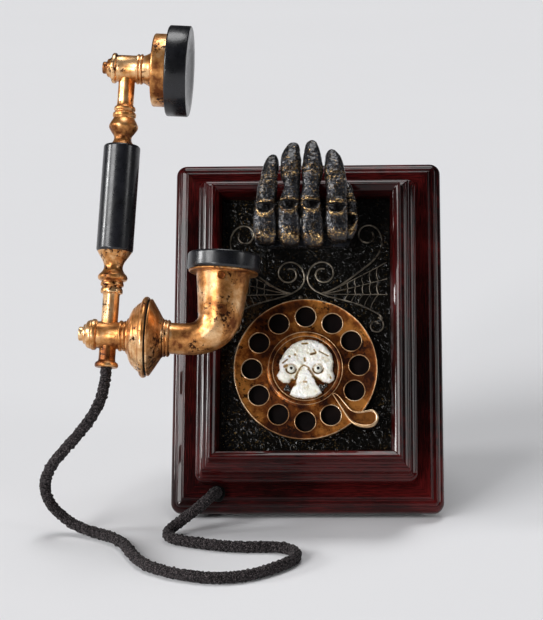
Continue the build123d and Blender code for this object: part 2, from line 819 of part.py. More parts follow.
def upper_barrel():
    """Upper cross barrel between the neck and the earpiece."""
    body = barrel(-9.8, 10.0, [(-9.8, -7.2, 1.0), (6.0, 7.8, 0.9), (8.3, 10.0, 1.0)])
    return Pos(0, 0, barrel_span) * (body - rod(neck_radius + socket_gap, -20, socket_gap - 2.0))


def upper_finial():
    """Stepped end button of the upper barrel."""
    return upper(turned([(7.2, -9.9), (6.0, -11.4), (5.8, -12.6), (3.9, -13.6), (3.9, -16.1), (0, -16.1),
                         (0, -9.9)]))


def upper_neck():
    """Turned neck between the grip and the upper barrel: bulb, beads and a plain stem."""
    stem_end = barrel_span - 2.0 - grip_high
    neck = turned([(7.6, 0), (5.6, 3.2), (5.7, 6.4), (8.6, 10.2, 8.9, 14.4), (6.8, 17.8), (7.2, 19.6),
                   (7.2, 21.4), (6.2, 22.6), (6.8, 23.8), (6.6, 25.6), (neck_radius, 26.2),
                   (neck_radius, stem_end)])
    return Pos(0, 0, grip_high) * (neck - rod(rod_radius + socket_gap, -1, rod_seat))


def grip():
    """Black sleeve of the handle."""
    sleeve = turned([(grip_radius - 0.8, grip_low), (grip_radius, grip_low + 0.8),
                     (grip_radius, grip_high - 0.8), (grip_radius - 0.8, grip_high)])
    return sleeve - rod(rod_radius + socket_gap, grip_low - 1, grip_high + 1)


def core_rod():
    """Steel rod through the sleeve that ties the two necks together."""
    return rod(rod_radius, grip_low - rod_seat + socket_gap, grip_high + rod_seat - socket_gap)


def lower_neck():
    """Turned neck under the grip: flare, waist, bead, collar and stem."""
    neck = turned([(neck_radius, 2.0), (neck_radius, 26.6), (6.9, 27.1), (7.0, 29.6), (6.4, 30.6),
                   (7.2, 31.6), (7.3, 33.4), (6.9, 34.2), (9.6, 36.0, 9.1, 38.4), (6.4, 41.0),
                   (5.8, 43.4), (6.6, 46.6), (10.8, grip_low)])
    return neck - rod(rod_radius + socket_gap, grip_low - rod_seat, grip_low + 1)


def lower_barrel():
    """Lower cross barrel between the neck, the ferrule and the mouthpiece."""
    body = barrel(-10.6, 11.4, [(-10.6, -7.6, 1.2), (6.9, 8.9, 1.1), (9.5, 11.4, 0.9)])
    socket_up = rod(neck_radius + socket_gap, 2.0 - socket_gap, 20)
    socket_down = rod(neck_radius + socket_gap, -20, -5.0 + socket_gap)
    return body - socket_up - socket_down


def lower_finial():
    """Stepped end button of the lower barrel."""
    return crossways(turned([(9.2, -10.7), (8.6, -13.4), (6.6, -14.4), (6.2, -15.6), (4.5, -16.2),
                             (4.5, -18.9), (0, -18.9), (0, -10.7)]))


def transmitter_bell():
    """Turned dish behind the mouthpiece."""
    return crossways(turned([(0, 11.5), (11.0, 11.5), (12.2, 12.4), (17.4, 14.2, 19.6, 17.6), (20.8, 18.0),
                             (22.4, 20.4), (25.0, 21.4), (25.8, 23.0), (25.4, 24.6), (0, 24.6)]))


def transmitter_gasket():
    """Black gasket between the dish and its cone."""
    return crossways(rod(24.0, 24.7, 25.5))


def transmitter_cone():
    """Cone that narrows from the gasket to the horn's collar."""
    return crossways(turned([(0, 25.6), (24.6, 25.6), (24.4, 26.8), (12.4, 34.2), (12.4, 34.7), (0, 34.7)]))


def horn_collar():
    """Beaded collar of the horn."""
    return crossways(turned([(0, 34.8), (11.4, 34.8), (11.8, 35.8), (11.2, 36.8), (11.8, 37.6), (11.6, 38.8),
                             (10.6, 39.1), (0, 39.1)]))


def horn_elbow():
    """Curved horn that swells towards the mouth, with a seat for the microphone in its end."""
    # out from the handle, up, radius, and heading over the handset's x
    stations = [(39.2, 0.2, 9.9, 0), (49.5, 0.2, 10.0, 0), (58.0, 1.7, 10.8, 22), (64.8, 6.0, 12.2, 46),
                (68.9, 12.6, 13.5, 68), (70.0, 21.0, 14.7, 86), (horn_out, 32.0, 15.9, 90),
                (horn_out, horn_end, 17.1, 90)]
    circles = []
    for out, up, radius, heading in stations:
        turn = radians(heading)
        plane = Plane(origin=(out, 0, up), x_dir=(0, 1, 0), z_dir=(cos(turn), 0, sin(turn)))
        circles.append(plane * Circle(radius))
    return loft(circles) - mouth(rod(capsule_radius + socket_gap, horn_end - capsule_seat, horn_end + 1))


def mouth(shape):
    """Place a shape drawn about the horn mouth's axis."""
    return Pos(horn_out, 0, 0) * shape


def mouth_flange():
    """Metal flange on the horn's end."""
    flange = turned([(17.0, horn_end + 0.1), (21.6, horn_end + 0.3), (22.2, horn_end + 1.0),
                     (21.8, cap_low - 0.1), (17.0, cap_low - 0.1)])
    return mouth(flange - rod(capsule_radius + socket_gap, horn_end, cap_low))


def microphone_capsule():
    """Sound pick-up in the horn's end, behind the mouthpiece."""
    return mouth(rod(capsule_radius, horn_end - capsule_seat + socket_gap, cap_low - socket_gap))


def mouthpiece_cap():
    """Black mouthpiece: a ring wall, a dished face and sound holes."""
    cap = turned([(0, 46.6), (7.0, 46.6), (15.6, 49.0, 20.6, cap_high - 0.4), (21.4, cap_high),
                  (cap_radius - 1.0, cap_high), (cap_radius, cap_high - 1.0), (cap_radius, cap_low + 0.8),
                  (cap_radius - 0.8, cap_low), (0, cap_low)])
    for index in range(6):
        angle = radians(60 * index)
        cap -= Pos(3.6 * cos(angle), 3.6 * sin(angle), 0) * rod(1.0, 40, 60)
    return mouth(cap)


def horn_screw():
    """Small screw near the horn's mouth."""
    return mouth(Pos(0, 0, horn_end - 3.4) * Rot(90, 0, 0) * rod(2.5, 17.0, 17.9))


def cord_ferrule():
    """Ferrule under the lower barrel where the cord leaves the handset."""
    return turned([(0, ferrule_end), (7.3, ferrule_end), (7.5, ferrule_end + 2.6), (5.4, ferrule_end + 3.8),
                   (5.3, -5.0), (0, -5.0)])


# ---- cord ------------------------------------------------------------------------------------
def cord_grommet():
    """Round black grommet in the lower margin of the board."""
    back = board_thickness - grommet_depth
    front = board_thickness + grommet_proud
    plug = turned([(0, back), (grommet_radius, back), (grommet_radius, front - 0.5),
                   (grommet_radius - 0.7, front), (0, front)])
    return board_frame(Pos(*cord_exit) * plug)


def cord_route():
    """Points of the cord from the ferrule, down to the floor, round its loop and back to the grommet."""
    start = handset_frame(Pos(0, 0, ferrule_end)).position
    leave = handset_frame(Pos(0, 0, ferrule_end - 12)).position
    arrive = board_point(*cord_exit, board_thickness + grommet_proud + 8)
    end = board_point(*cord_exit, board_thickness + grommet_proud)
    lie = cord_radius + cord_lift
    return [start, leave, (-129.2, -92.6, 88.6), (-136.2, -95.2, 78.2), (-145.2, -95.0, 67.4),
            (-155.0, -92.5, 56.6), (-163.2, -89.2, 45.2), (-167.4, -85.6, 32.6), (-165.4, -83.0, 21.0),
            (-158.4, -83.2, 12.4), (-148.6, -86.2, 6.0), (-137.5, -91.6, lie), (-125.0, -98.6, lie),
            (-114.6, -110.6, lie),
            (-108.0, -127.5, lie), (-99.4, -145.0, lie), (-84.0, -157.6, lie), (-66.0, -165.6, lie),
            (-48.0, -168.2, lie), (-30.6, -163.0, lie), (-14.8, -150.0, lie), (-4.4, -137.0, lie),
            (-5.2, -123.6, lie), (-17.0, -117.0, lie), (-33.0, -117.6, lie), (-49.5, -116.4, lie),
            (-65.5, -111.4, lie), (-77.0, -107.2, lie), (-85.0, -102.4, lie), (-88.6, -96.0, lie),
            (-86.8, -89.6, 4.6), (-81.4, -85.8, 8.0), (-74.6, -84.0, 12.4), (-67.6, -82.0, 17.4),
            (-61.8, -78.9, 22.2), arrive, end]


def corner_radii(points):
    """Arc at each bend, as large as its two runs allow."""
    radii = []
    for before, here, after in zip(points, points[1:], points[2:]):
        arriving = Vector(here) - Vector(before)
        leaving = Vector(after) - Vector(here)
        turn = radians(arriving.get_angle(leaving))
        radii.append(0.45 * min(arriving.length, leaving.length) / tan(turn / 2))
    return radii


def handset_cord():
    """Braided cord as one round tube."""
    points = [Vector(point) for point in cord_route()]
    radii = corner_radii(points)
    path = FilletPolyline(*points, radius=radii)
    section = Plane(origin=points[0], z_dir=points[1] - points[0]) * Circle(cord_radius)
    return sweep(section, path)


# ---- all pieces ------------------------------------------------------------------------------
board_pieces = {
    "base_board": base_board, "raised_moulding": raised_moulding, "crest_moulding": crest_moulding,
    "face_plate": face_plate, "hook_plunger": hook_plunger, "hook_switch": hook_switch,
    "hand_palm": hand_palm, "little_finger": little_finger, "ring_finger": ring_finger,
    "middle_finger": middle_finger, "index_finger": index_finger, "thumb": thumb}
dial_pieces = {
    "finger_stop": finger_stop, "stop_screw": stop_screw, "dial_backing": dial_backing,
    "dial_wheel": dial_wheel, "dial_hub": dial_hub, "skull_medallion": skull_medallion,
    "skull_eyes": skull_eyes, "dial_spindle": dial_spindle, "dial_bush": dial_bush, "pulse_cam": pulse_cam,
    "dial_frame": dial_frame, "return_spring": return_spring, "pulse_contacts": pulse_contacts}
handset_pieces = {
    "receiver_cap": receiver_cap, "receiver_capsule": receiver_capsule, "receiver_cup": receiver_cup,
    "upper_barrel": upper_barrel, "upper_finial": upper_finial, "upper_neck": upper_neck, "grip": grip,
    "core_rod": core_rod, "lower_neck": lower_neck, "lower_barrel": lower_barrel,
    "lower_finial": lower_finial, "microphone_capsule": microphone_capsule,
    "transmitter_bell": transmitter_bell, "transmitter_gasket": transmitter_gasket,
    "transmitter_cone": transmitter_cone, "horn_collar": horn_collar, "horn_elbow": horn_elbow,
    "mouth_flange": mouth_flange, "mouthpiece_cap": mouthpiece_cap, "horn_screw": horn_screw,
    "cord_ferrule": cord_ferrule}
placed_pieces = {
    "rear_housing": rear_housing, "bottom_cover": bottom_cover, "battery_door": battery_door,
    "battery_tray": battery_tray, "batteries": batteries, "base_pad": base_pad,
    "cover_screws": cover_screws, "speaker": speaker, "circuit_board": circuit_board,
    "power_switch_body": power_switch_body, "power_switch_knob": power_switch_knob,
    "cord_grommet": cord_grommet, "handset_cord": handset_cord}

os.makedirs("parts", exist_ok=True)
for pieces, place in ((board_pieces, board_frame), (dial_pieces, at_dial), (handset_pieces, handset_frame),
                      (placed_pieces, lambda shape: shape)):
    for name, make in pieces.items():
        export_step(place(make()), f"parts/{name}.step")
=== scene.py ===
"""Looks of a sloping desk telephone with a skull dial, a skeleton-hand cradle and a candlestick handset.

Shapes are written in millimetres in three sets of axes and then placed in the frame, which is in metres:
the board's (x across, y up the slope from the lower edge, z out of the front), the dial's (the same,
about the dial's axis) and the handset's (z up the handle, x towards the earpiece).
"""

import bmesh
import bpy
import json
from math import copysign, cos, exp, hypot, pi, radians, sin, sqrt
from mathutils import Matrix, Vector, noise


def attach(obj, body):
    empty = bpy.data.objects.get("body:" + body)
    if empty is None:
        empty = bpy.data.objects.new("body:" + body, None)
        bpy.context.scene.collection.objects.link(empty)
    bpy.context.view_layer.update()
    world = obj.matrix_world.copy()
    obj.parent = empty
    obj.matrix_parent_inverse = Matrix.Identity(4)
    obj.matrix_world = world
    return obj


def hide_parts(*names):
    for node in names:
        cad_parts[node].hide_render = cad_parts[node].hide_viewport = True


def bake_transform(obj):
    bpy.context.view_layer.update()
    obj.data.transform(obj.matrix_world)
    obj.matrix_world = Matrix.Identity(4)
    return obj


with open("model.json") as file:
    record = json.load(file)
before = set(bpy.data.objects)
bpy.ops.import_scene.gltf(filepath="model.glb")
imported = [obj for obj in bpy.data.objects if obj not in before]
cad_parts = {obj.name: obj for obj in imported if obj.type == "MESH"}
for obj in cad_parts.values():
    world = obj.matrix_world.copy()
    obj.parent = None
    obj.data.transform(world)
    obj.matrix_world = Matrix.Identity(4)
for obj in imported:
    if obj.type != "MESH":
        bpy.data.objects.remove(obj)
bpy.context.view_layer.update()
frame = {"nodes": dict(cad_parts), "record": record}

# ---- driving sizes, in millimetres and degrees ----
board_width = 178
board_height = 237.4
board_lean = 30
board_corner = 7
foot_height = 2
board_foot_y = -57
raised_inset = 17.3
raised_corner = 5.5
plate_front = 38
dial_up = 87.5
dial_front = 44
handset_place = (-123.5, -73.1, 129.3)
handset_lean = -24.2
handset_tilt = 3.4
barrel_span = 173.5
horn_out = 70.2
cord_radius = 3.6


def turn(degrees, axis):
    return Matrix.Rotation(radians(degrees), 4, axis)


def shift(x, y, z):
    return Matrix.Translation((x, y, z))


METRES = Matrix.Scale(0.001, 4)
BOARD = METRES @ shift(0, board_foot_y, foot_height) @ turn(90 - board_lean, "X")
DIAL = BOARD @ shift(0, dial_up, 0)
HUB = DIAL @ shift(0, 0, dial_front + 0.8)
HANDSET = METRES @ shift(*handset_place) @ turn(handset_lean, "X") @ turn(handset_tilt, "Y")
LOWER = HANDSET @ turn(90, "Y")
UPPER = HANDSET @ shift(0, 0, barrel_span) @ turn(90, "Y")
MOUTH = HANDSET @ shift(horn_out, 0, 0)


# ---- camera ----
def make_camera():
    """Camera at the viewing angle, about 1.45 m away."""
    data = bpy.data.cameras.new("camera")
    data.lens = 126
    data.sensor_width = 36
    data.clip_end = 30
    camera = linked(bpy.data.objects.new("camera", data))
    camera.location = (0.047, -1.3842, 0.5123)
    camera.rotation_euler = [radians(a) for a in (74.376, 1.09, 2.621)]
    bpy.context.scene.camera = camera


# ---- node materials ----
class Shader:
    """A new material, with short calls for its nodes."""

    def __init__(self, name):
        self.material = bpy.data.materials.new(name)
        self.material.use_nodes = True
        self.tree = self.material.node_tree
        self.surface = self.tree.nodes["Principled BSDF"]
        self.where = self.tree.nodes.new("ShaderNodeTexCoord").outputs["Object"]

    def set(self, **values):
        """Plain values of the surface, by socket name with _ for a space."""
        for key, value in values.items():
            self.surface.inputs[key.replace("_", " ")].default_value = value

    def link(self, out, socket):
        self.tree.links.new(out, self.surface.inputs[socket])

    def node(self, kind, inputs=None, **settings):
        made = self.tree.nodes.new(kind)
        for key, value in settings.items():
            setattr(made, key, value)
        for key, value in (inputs or {}).items():
            if isinstance(value, bpy.types.NodeSocket):
                self.tree.links.new(value, made.inputs[key])
            else:
                made.inputs[key].default_value = value
        return made

    def noise(self, scale, detail=4, roughness=0.55, vector=None, distortion=0):
        inputs = {"Vector": vector or self.where, "Scale": scale, "Detail": detail, "Roughness": roughness,
                  "Distortion": distortion}
        return self.node("ShaderNodeTexNoise", inputs).outputs["Fac"]

    def ramp(self, fac, stops):
        made = self.node("ShaderNodeValToRGB", {"Fac": fac})
        bar = made.color_ramp
        while len(bar.elements) < len(stops):
            bar.elements.new(0.5)
        for element, (at, color) in zip(bar.elements, stops):
            element.position = at
            element.color = (*color, 1) if hasattr(color, "__len__") else (color, color, color, 1)
        return made.outputs["Color"]

    def math(self, operation, a, b):
        return self.node("ShaderNodeMath", {0: a, 1: b}, operation=operation).outputs[0]

    def mix(self, fac, a, b):
        made = self.node("ShaderNodeMix", data_type="RGBA")
        for socket, value in ((made.inputs[0], fac), (made.inputs[6], a), (made.inputs[7], b)):
            if isinstance(value, bpy.types.NodeSocket):
                self.tree.links.new(value, socket)
            else:
                socket.default_value = (*value, 1)
        return made.outputs[2]

    def attribute(self, name):
        return self.node("ShaderNodeAttribute", attribute_name=name).outputs["Fac"]

    def bump(self, height, strength, distance):
        inputs = {"Height": height, "Strength": strength, "Distance": distance}
        self.link(self.node("ShaderNodeBump", inputs).outputs[0], "Normal")


def cherry_wood(name):
    """High-gloss dark cherry: nearly black red with fine streaks along each rail."""
    s = Shader(name)
    along = s.node("ShaderNodeUVMap", uv_map="grain").outputs[0]
    drawn_out = s.node("ShaderNodeMapping", {"Vector": along, "Scale": (1, 26, 1)}).outputs[0]
    streaks = s.noise(9, 6, 0.62, drawn_out, 0.9)
    clouds = s.noise(16, 3)
    tone = s.math("ADD", s.math("MULTIPLY", streaks, 0.6), s.math("MULTIPLY", clouds, 0.4))
    color = s.ramp(tone, [
        (0.38, (0.0035, 0.0003, 0.0003)), (0.49, (0.015, 0.0009, 0.001)),
        (0.62, (0.09, 0.0058, 0.0058))])
    s.link(color, "Base Color")
    s.set(Roughness=0.35, Specular_IOR_Level=0.05, Coat_Weight=0.7, Coat_Roughness=0.04, Coat_IOR=1.38)
    s.bump(s.noise(240, 2), 0.03, 0.0003)
    return s.material


def hammered_plate(name):
    """Black enamel over a pebbled ground, with specks of old gold in scattered patches."""
    s = Shader(name)
    grains = s.ramp(s.noise(620, 3, 0.6, distortion=0.6), [(0.57, 0), (0.71, 1)])
    lumps = s.ramp(s.noise(300, 2), [(0.55, 0), (0.75, 0.7)])
    height = s.math("ADD", grains, lumps)
    specks = s.ramp(s.noise(760, 2, 0.6), [(0.62, 0), (0.7, 1)])
    patches = s.ramp(s.noise(26, 3), [(0.42, 0), (0.62, 1)])
    gold = s.mix(s.math("MULTIPLY", specks, patches), (0.0022, 0.0018, 0.0013), (0.16, 0.1, 0.035))
    s.link(gold, "Base Color")
    s.set(Roughness=0.14, Specular_IOR_Level=0.35)
    s.bump(height, 1, 0.0006)
    return s.material


def patina(name, dark, middle, bright, speck, gloss, pits=1):
    """Antiqued metal: mottled from dark to bright, with pits where the wash has stayed."""
    s = Shader(name)
    broad = s.noise(34, 4, 0.6, distortion=0.4)
    fine = s.noise(150, 4, 0.65)
    tone = s.math("ADD", s.math("MULTIPLY", broad, 0.62), s.math("MULTIPLY", fine, 0.38))
    color = s.ramp(tone, [(0.4, dark), (0.49, middle), (0.59, bright)])
    grains = s.noise(420, 3, 0.6)
    spots = s.ramp(s.math("MULTIPLY", grains, s.noise(60, 2)), [(0.315, 0), (0.365, pits)])
    color = s.mix(spots, color, speck)
    s.link(color, "Base Color")
    s.link(s.ramp(tone, [(0.35, gloss + 0.16), (0.65, gloss)]), "Roughness")
    s.set(Metallic=0.82, Specular_IOR_Level=0.5)
    s.bump(s.math("ADD", fine, s.math("MULTIPLY", grains, 0.5)), 0.16, 0.0004)
    return s.material


def gunmetal_bone(name):
    """Gunmetal paint, with gold brushed on the ridges that the mesh marks as worn, and painted shade where
    it marks shade.
    """
    s = Shader(name)
    clouds = s.noise(130, 4, 0.6)
    base = s.ramp(clouds, [
        (0.36, (0.0045, 0.0048, 0.0062)), (0.52, (0.012, 0.013, 0.0165)), (0.66, (0.03, 0.032, 0.039))])
    flecks = s.math("ADD", s.noise(900, 4, 0.7), s.math("MULTIPLY", s.attribute("worn"), 0.25))
    gold = s.ramp(s.noise(500, 3), [(0.42, (0.075, 0.032, 0.009)), (0.6, (0.66, 0.43, 0.18))])
    rubbed = s.ramp(flecks, [(0.6, 0), (0.8, 1)])
    color = s.mix(rubbed, base, gold)
    # painted shade: the marked pits, grooves and sides go near black and lose their coat and gloss
    s.link(s.mix(s.attribute("stain_and_shade"), color, (0.002, 0.0016, 0.0016)), "Base Color")
    s.link(s.ramp(s.attribute("stain_and_shade"), [(0.2, 0.4), (0.8, 0.1)]), "Coat Weight")
    s.link(s.ramp(s.attribute("stain_and_shade"), [(0.2, 0.4), (0.9, 0.1)]), "Specular IOR Level")
    s.link(s.ramp(rubbed, [(0, 0.35), (0.6, 1)]), "Metallic")
    s.set(Roughness=0.24, Coat_Roughness=0.08)
    s.bump(s.math("ADD", clouds, s.noise(420, 3)), 0.9, 0.0012)
    return s.material


def ivory_bone(name):
    """Ivory resin with brown stains in its cracks, and painted shade, brown to near black, by the eyes, jaw
    and edges.
    """
    s = Shader(name)
    base = s.ramp(s.noise(90, 3), [(0.4, (0.93, 0.91, 0.8)), (0.6, (0.98, 0.97, 0.94))])
    mottle = s.ramp(s.noise(260, 3), [(0.57, 0), (0.68, 0.5)])
    color = s.mix(mottle, base, (0.55, 0.42, 0.18))
    # brown stains and painted shade from the mesh's marks; the strongest go near black
    color = s.mix(s.ramp(s.attribute("stain_and_shade"), [(0, 0), (0.5, 1)]), color, (0.36, 0.21, 0.055))
    color = s.mix(s.ramp(s.attribute("stain_and_shade"), [(0.5, 0), (1, 1)]), color, (0.03, 0.014, 0.004))
    s.link(color, "Base Color")
    s.set(Roughness=0.3, Coat_Weight=0.5, Coat_Roughness=0.12)
    s.set(Subsurface_Weight=0.05, Subsurface_Scale=0.001)
    s.bump(s.noise(420, 3), 0.14, 0.0004)
    return s.material


def glossy(name, scale, low, high, roughness):
    """Painted beads under clear gloss."""
    s = Shader(name)
    s.link(s.ramp(s.noise(scale), [(0.4, low), (0.6, high)]), "Base Color")
    s.set(Roughness=roughness, Coat_Weight=1, Coat_Roughness=0.03)
    return s.material


def black_ebonite(name):
    """Satin blue-black of the caps and the grip, faintly scuffed."""
    s = Shader(name)
    scuffs = s.noise(60, 5, 0.65)
    s.link(s.ramp(scuffs, [(0.4, (0.0038, 0.004, 0.0052)), (0.6, (0.0095, 0.01, 0.013))]), "Base Color")
    s.link(s.ramp(s.noise(180, 4), [(0.35, 0.24), (0.65, 0.34)]), "Roughness")
    s.set(Specular_IOR_Level=0.45, Coat_Weight=0.15, Coat_Roughness=0.1)
    s.bump(s.noise(900, 2), 0.05, 0.0002)
    return s.material


def plain(name, low, high, roughness, metallic=0, relief=0.1, specular=0.5):
    """A plain finish that still varies a little over the surface."""
    s = Shader(name)
    s.link(s.ramp(s.noise(120), [(0.4, low), (0.6, high)]), "Base Color")
    s.set(Roughness=roughness, Metallic=metallic, Specular_IOR_Level=specular)
    s.bump(s.noise(720, 2), relief, 0.0003)
    return s.material


def braid(name):
    """Matt black yarn."""
    s = Shader(name)
    fibres = s.noise(1500, 3, 0.7)
    s.link(s.ramp(fibres, [
        (0.42, (0.003, 0.0026, 0.003)), (0.53, (0.013, 0.0105, 0.0115)), (0.62, (0.13, 0.108, 0.11))]),
        "Base Color")
    s.set(Roughness=0.85, Specular_IOR_Level=0.15, Sheen_Weight=0.1, Sheen_Roughness=0.4)
    s.bump(fibres, 0.8, 0.0007)
    return s.material


# how each finish is made, and from what
FINISHES = {
    "dark_cherry_wood": (cherry_wood,),
    "black_hammered_plate": (hammered_plate,),
    "gunmetal_bone": (gunmetal_bone,),
    "antique_brass": (patina, (0.16, 0.047, 0.012), (0.57, 0.25, 0.075), (0.88, 0.56, 0.29),
        (0.045, 0.014, 0.005), 0.25),
    "antique_copper": (patina, (0.034, 0.007, 0.002), (0.19, 0.05, 0.008), (0.7, 0.27, 0.055),
        (0.014, 0.004, 0.002), 0.3, 0.9),
    "worn_copper": (patina, (0.03, 0.0065, 0.002), (0.105, 0.028, 0.0055), (0.42, 0.15, 0.032),
        (0.014, 0.004, 0.002), 0.3, 0.9),
    "rubbed_edge": (patina, (0.3, 0.14, 0.055), (0.66, 0.42, 0.22), (0.88, 0.68, 0.45),
        (0.12, 0.05, 0.02), 0.24, 0.3),
    "ornament_wire": (patina, (0.05, 0.042, 0.034), (0.16, 0.135, 0.105), (0.34, 0.29, 0.225),
        (0.012, 0.01, 0.008), 0.26),
    "ivory_bone": (ivory_bone,),
    "eye_glass": (glossy, 400, (0.7, 0.7, 0.6), (0.88, 0.88, 0.8), 0.12),
    "pupil_black": (glossy, 300, (0.006, 0.005, 0.004), (0.02, 0.016, 0.01), 0.1),
    "steel": (plain, (0.42, 0.42, 0.43), (0.6, 0.6, 0.61), 0.3, 1),
    "black_plastic": (plain, (0.005, 0.005, 0.0055), (0.0085, 0.0085, 0.009), 0.5),
    "black_case": (plain, (0.003, 0.0018, 0.0018), (0.006, 0.0034, 0.0032), 0.3, 0, 0.2, 0.2),
    "black_rubber": (plain, (0.004, 0.004, 0.004), (0.008, 0.008, 0.008), 0.75, 0, 0.1, 0.2),
    "black_ebonite": (black_ebonite,),
    "circuit_green": (plain, (0.01, 0.1, 0.03), (0.02, 0.16, 0.05), 0.4),
    "cell_jacket": (plain, (0.16, 0.16, 0.17), (0.24, 0.24, 0.25), 0.35, 0.4),
    "black_braid": (braid,)}
MATERIALS = {name: make(name, *values) for name, (make, *values) in FINISHES.items()}
WOOD = MATERIALS["dark_cherry_wood"]
BRASS = MATERIALS["antique_brass"]
COPPER = MATERIALS["antique_copper"]
EDGE = MATERIALS["rubbed_edge"]
WIRE = MATERIALS["ornament_wire"]
PUPIL = MATERIALS["pupil_black"]


# ---- mesh helpers ----
def linked(made):
    bpy.context.scene.collection.objects.link(made)
    return made


def add_mesh(name, points, faces, place, material=None, smooth_angle=38, weld=True):
    """A mesh from points in one set of axes; unwelded, its points keep their order."""
    mesh = bpy.data.meshes.new(name)
    mesh.from_pydata([place @ Vector(p) for p in points], [], faces)
    work = bmesh.new()
    work.from_mesh(mesh)
    if weld:
        bmesh.ops.remove_doubles(work, verts=work.verts, dist=2e-6)
    bmesh.ops.recalc_face_normals(work, faces=work.faces)
    work.to_mesh(mesh)
    work.free()
    mesh.shade_smooth()
    if weld:
        mesh.set_sharp_from_angle(angle=radians(smooth_angle))
    if material:
        mesh.materials.append(material)
    return linked(bpy.data.objects.new(name, mesh))


def belongs(piece, body, slot, *nodes):
    """Ties a piece to its body and hides the CAD nodes that it stands for; slot is not used."""
    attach(piece, body)
    if nodes:
        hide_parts(*nodes)


def eased(profile, steps=5, closed=False):
    """Rounds the corners of a profile whose points are (a, b) or (a, b, radius)."""
    made = []
    count = len(profile)
    for index, point in enumerate(profile):
        radius = point[2] if len(point) == 3 else 0
        here = Vector(point[:2])
        if radius == 0 or (not closed and index in (0, count - 1)):
            made.append(tuple(here))
            continue
        before = Vector(profile[index - 1][:2]) - here
        after = Vector(profile[(index + 1) % count][:2]) - here
        start = before.normalized() * min(radius, 0.49 * before.length)
        end = after.normalized() * min(radius, 0.49 * after.length)
        for step in range(steps + 1):
            t = step / steps
            made.append(tuple(here + start * (1 - t) ** 2 + end * t ** 2))
    return made


def grid_faces(rows, columns, wrap_rows=False):
    """Quads over rows of points."""
    faces = []
    for i in range(rows if wrap_rows else rows - 1):
        for j in range(columns):
            i2, j2 = (i + 1) % rows, (j + 1) % columns
            faces.append((i * columns + j, i * columns + j2, i2 * columns + j2, i2 * columns + j))
    return faces


def tube_faces(rows, columns):
    """Quads over rows of points, with both ends capped."""
    last = (rows - 1) * columns
    ends = [tuple(range(columns)), tuple(range(last + columns - 1, last - 1, -1))]
    return grid_faces(rows, columns) + ends


def ring(radius, height, count, x=0, y=0):
    """Points round a circle, anticlockwise."""
    turns = [2 * pi * k / count for k in range(count)]
    return [(x + radius * cos(a), y + radius * sin(a), height) for a in turns]


def lathe(name, profile, place, material, *tie, sides=96, closed=False):
    """Turns a profile of (radius, height) points about z; tie is the body, the slot and the CAD node."""
    rim = eased(profile, closed=closed)
    points = [point for radius, height in rim for point in ring(max(radius, 1e-5), height, sides)]
    piece = add_mesh(name, points, grid_faces(len(rim), sides, wrap_rows=closed), place, material)
    if tie:
        belongs(piece, *tie)
    return piece


def rounded_loop(half_width, low, high, radius):
    """Points of a rounded rectangle, anticlockwise from the right side's foot."""
    steps = 8
    centres = ((half_width - radius, low + radius, -90), (half_width - radius, high - radius, 0),
               (radius - half_width, high - radius, 90), (radius - half_width, low + radius, 180))
    points = []
    for x, y, first in centres:
        for step in range(steps + 1):
            angle = radians(first + 90 * step / steps)
            points.append((x + radius * cos(angle), y + radius * sin(angle)))
    return points


def moulding(name, node, profile, edge_inset, corner, window=None):
    """A closed ring of moulding round the board; its grain runs along each rail."""
    loops = []
    rounded = eased(profile, steps=4)
    for inset, height in rounded:
        radius = max(corner - (inset - edge_inset), 0.5)
        loop = rounded_loop(board_width / 2 - inset, inset, board_height - inset, radius)
        loops.append([(x, y, height) for x, y in loop])
    if window:
        half, low, high = window
        for height in (rounded[-1][1], rounded[0][1]):
            loops.append([(x, y, height) for x, y in rounded_loop(half, low, high, 0.5)])
    columns = len(loops[0])
    points = [point for loop in loops for point in loop]
    faces = grid_faces(len(loops), columns, wrap_rows=True)
    piece = add_mesh(name, points, faces, BOARD, WOOD, 30)
    lay_grain(piece)
    belongs(piece, "root", "dark_cherry_wood", node)


def lay_grain(piece):
    """A UV map, in metres, that runs along the nearest rail of the board."""
    back = BOARD.inverted()
    layer = piece.data.uv_layers.new(name="grain")
    middle = board_height / 2
    for polygon in piece.data.polygons:
        centre = back @ polygon.center
        upright = abs(centre.x) - board_width / 2 > abs(centre.y - middle) - board_height / 2
        for index in polygon.loop_indices:
            x, y, z = back @ piece.data.vertices[piece.data.loops[index].vertex_index].co
            along, across = (y, x) if upright else (x + 400, y)
            layer.data[index].uv = (along * 0.01, (across + z) * 0.01)


def nurbs(name, routes, closed=False, resolution=8):
    """A curve and its object, smooth along lists of control points."""
    curve = bpy.data.curves.new(name, "CURVE")
    curve.dimensions = "3D"
    for route in routes:
        spline = curve.splines.new("NURBS")
        spline.points.add(len(route) - 1)
        for control, point in zip(spline.points, route):
            control.co = (*point, 1)
        spline.order_u = 3
        spline.use_endpoint_u = not closed
        spline.use_cyclic_u = closed
        spline.resolution_u = resolution
    return curve, bpy.data.objects.new(name, curve)


def wire_path(name, routes, radius, place, material, body, slot, closed=False, widths=()):
    """Smooth round wires along control points; the widths scale the first one's radius."""
    curve, made = nurbs(name, [[place @ Vector(point) for point in route] for route in routes], closed)
    for control, width in zip(curve.splines[0].points, widths):
        control.radius = width
    curve.bevel_depth = radius * 0.001
    curve.bevel_resolution = 4
    curve.use_fill_caps = True
    curve.materials.append(material)
    belongs(linked(made), body, slot)


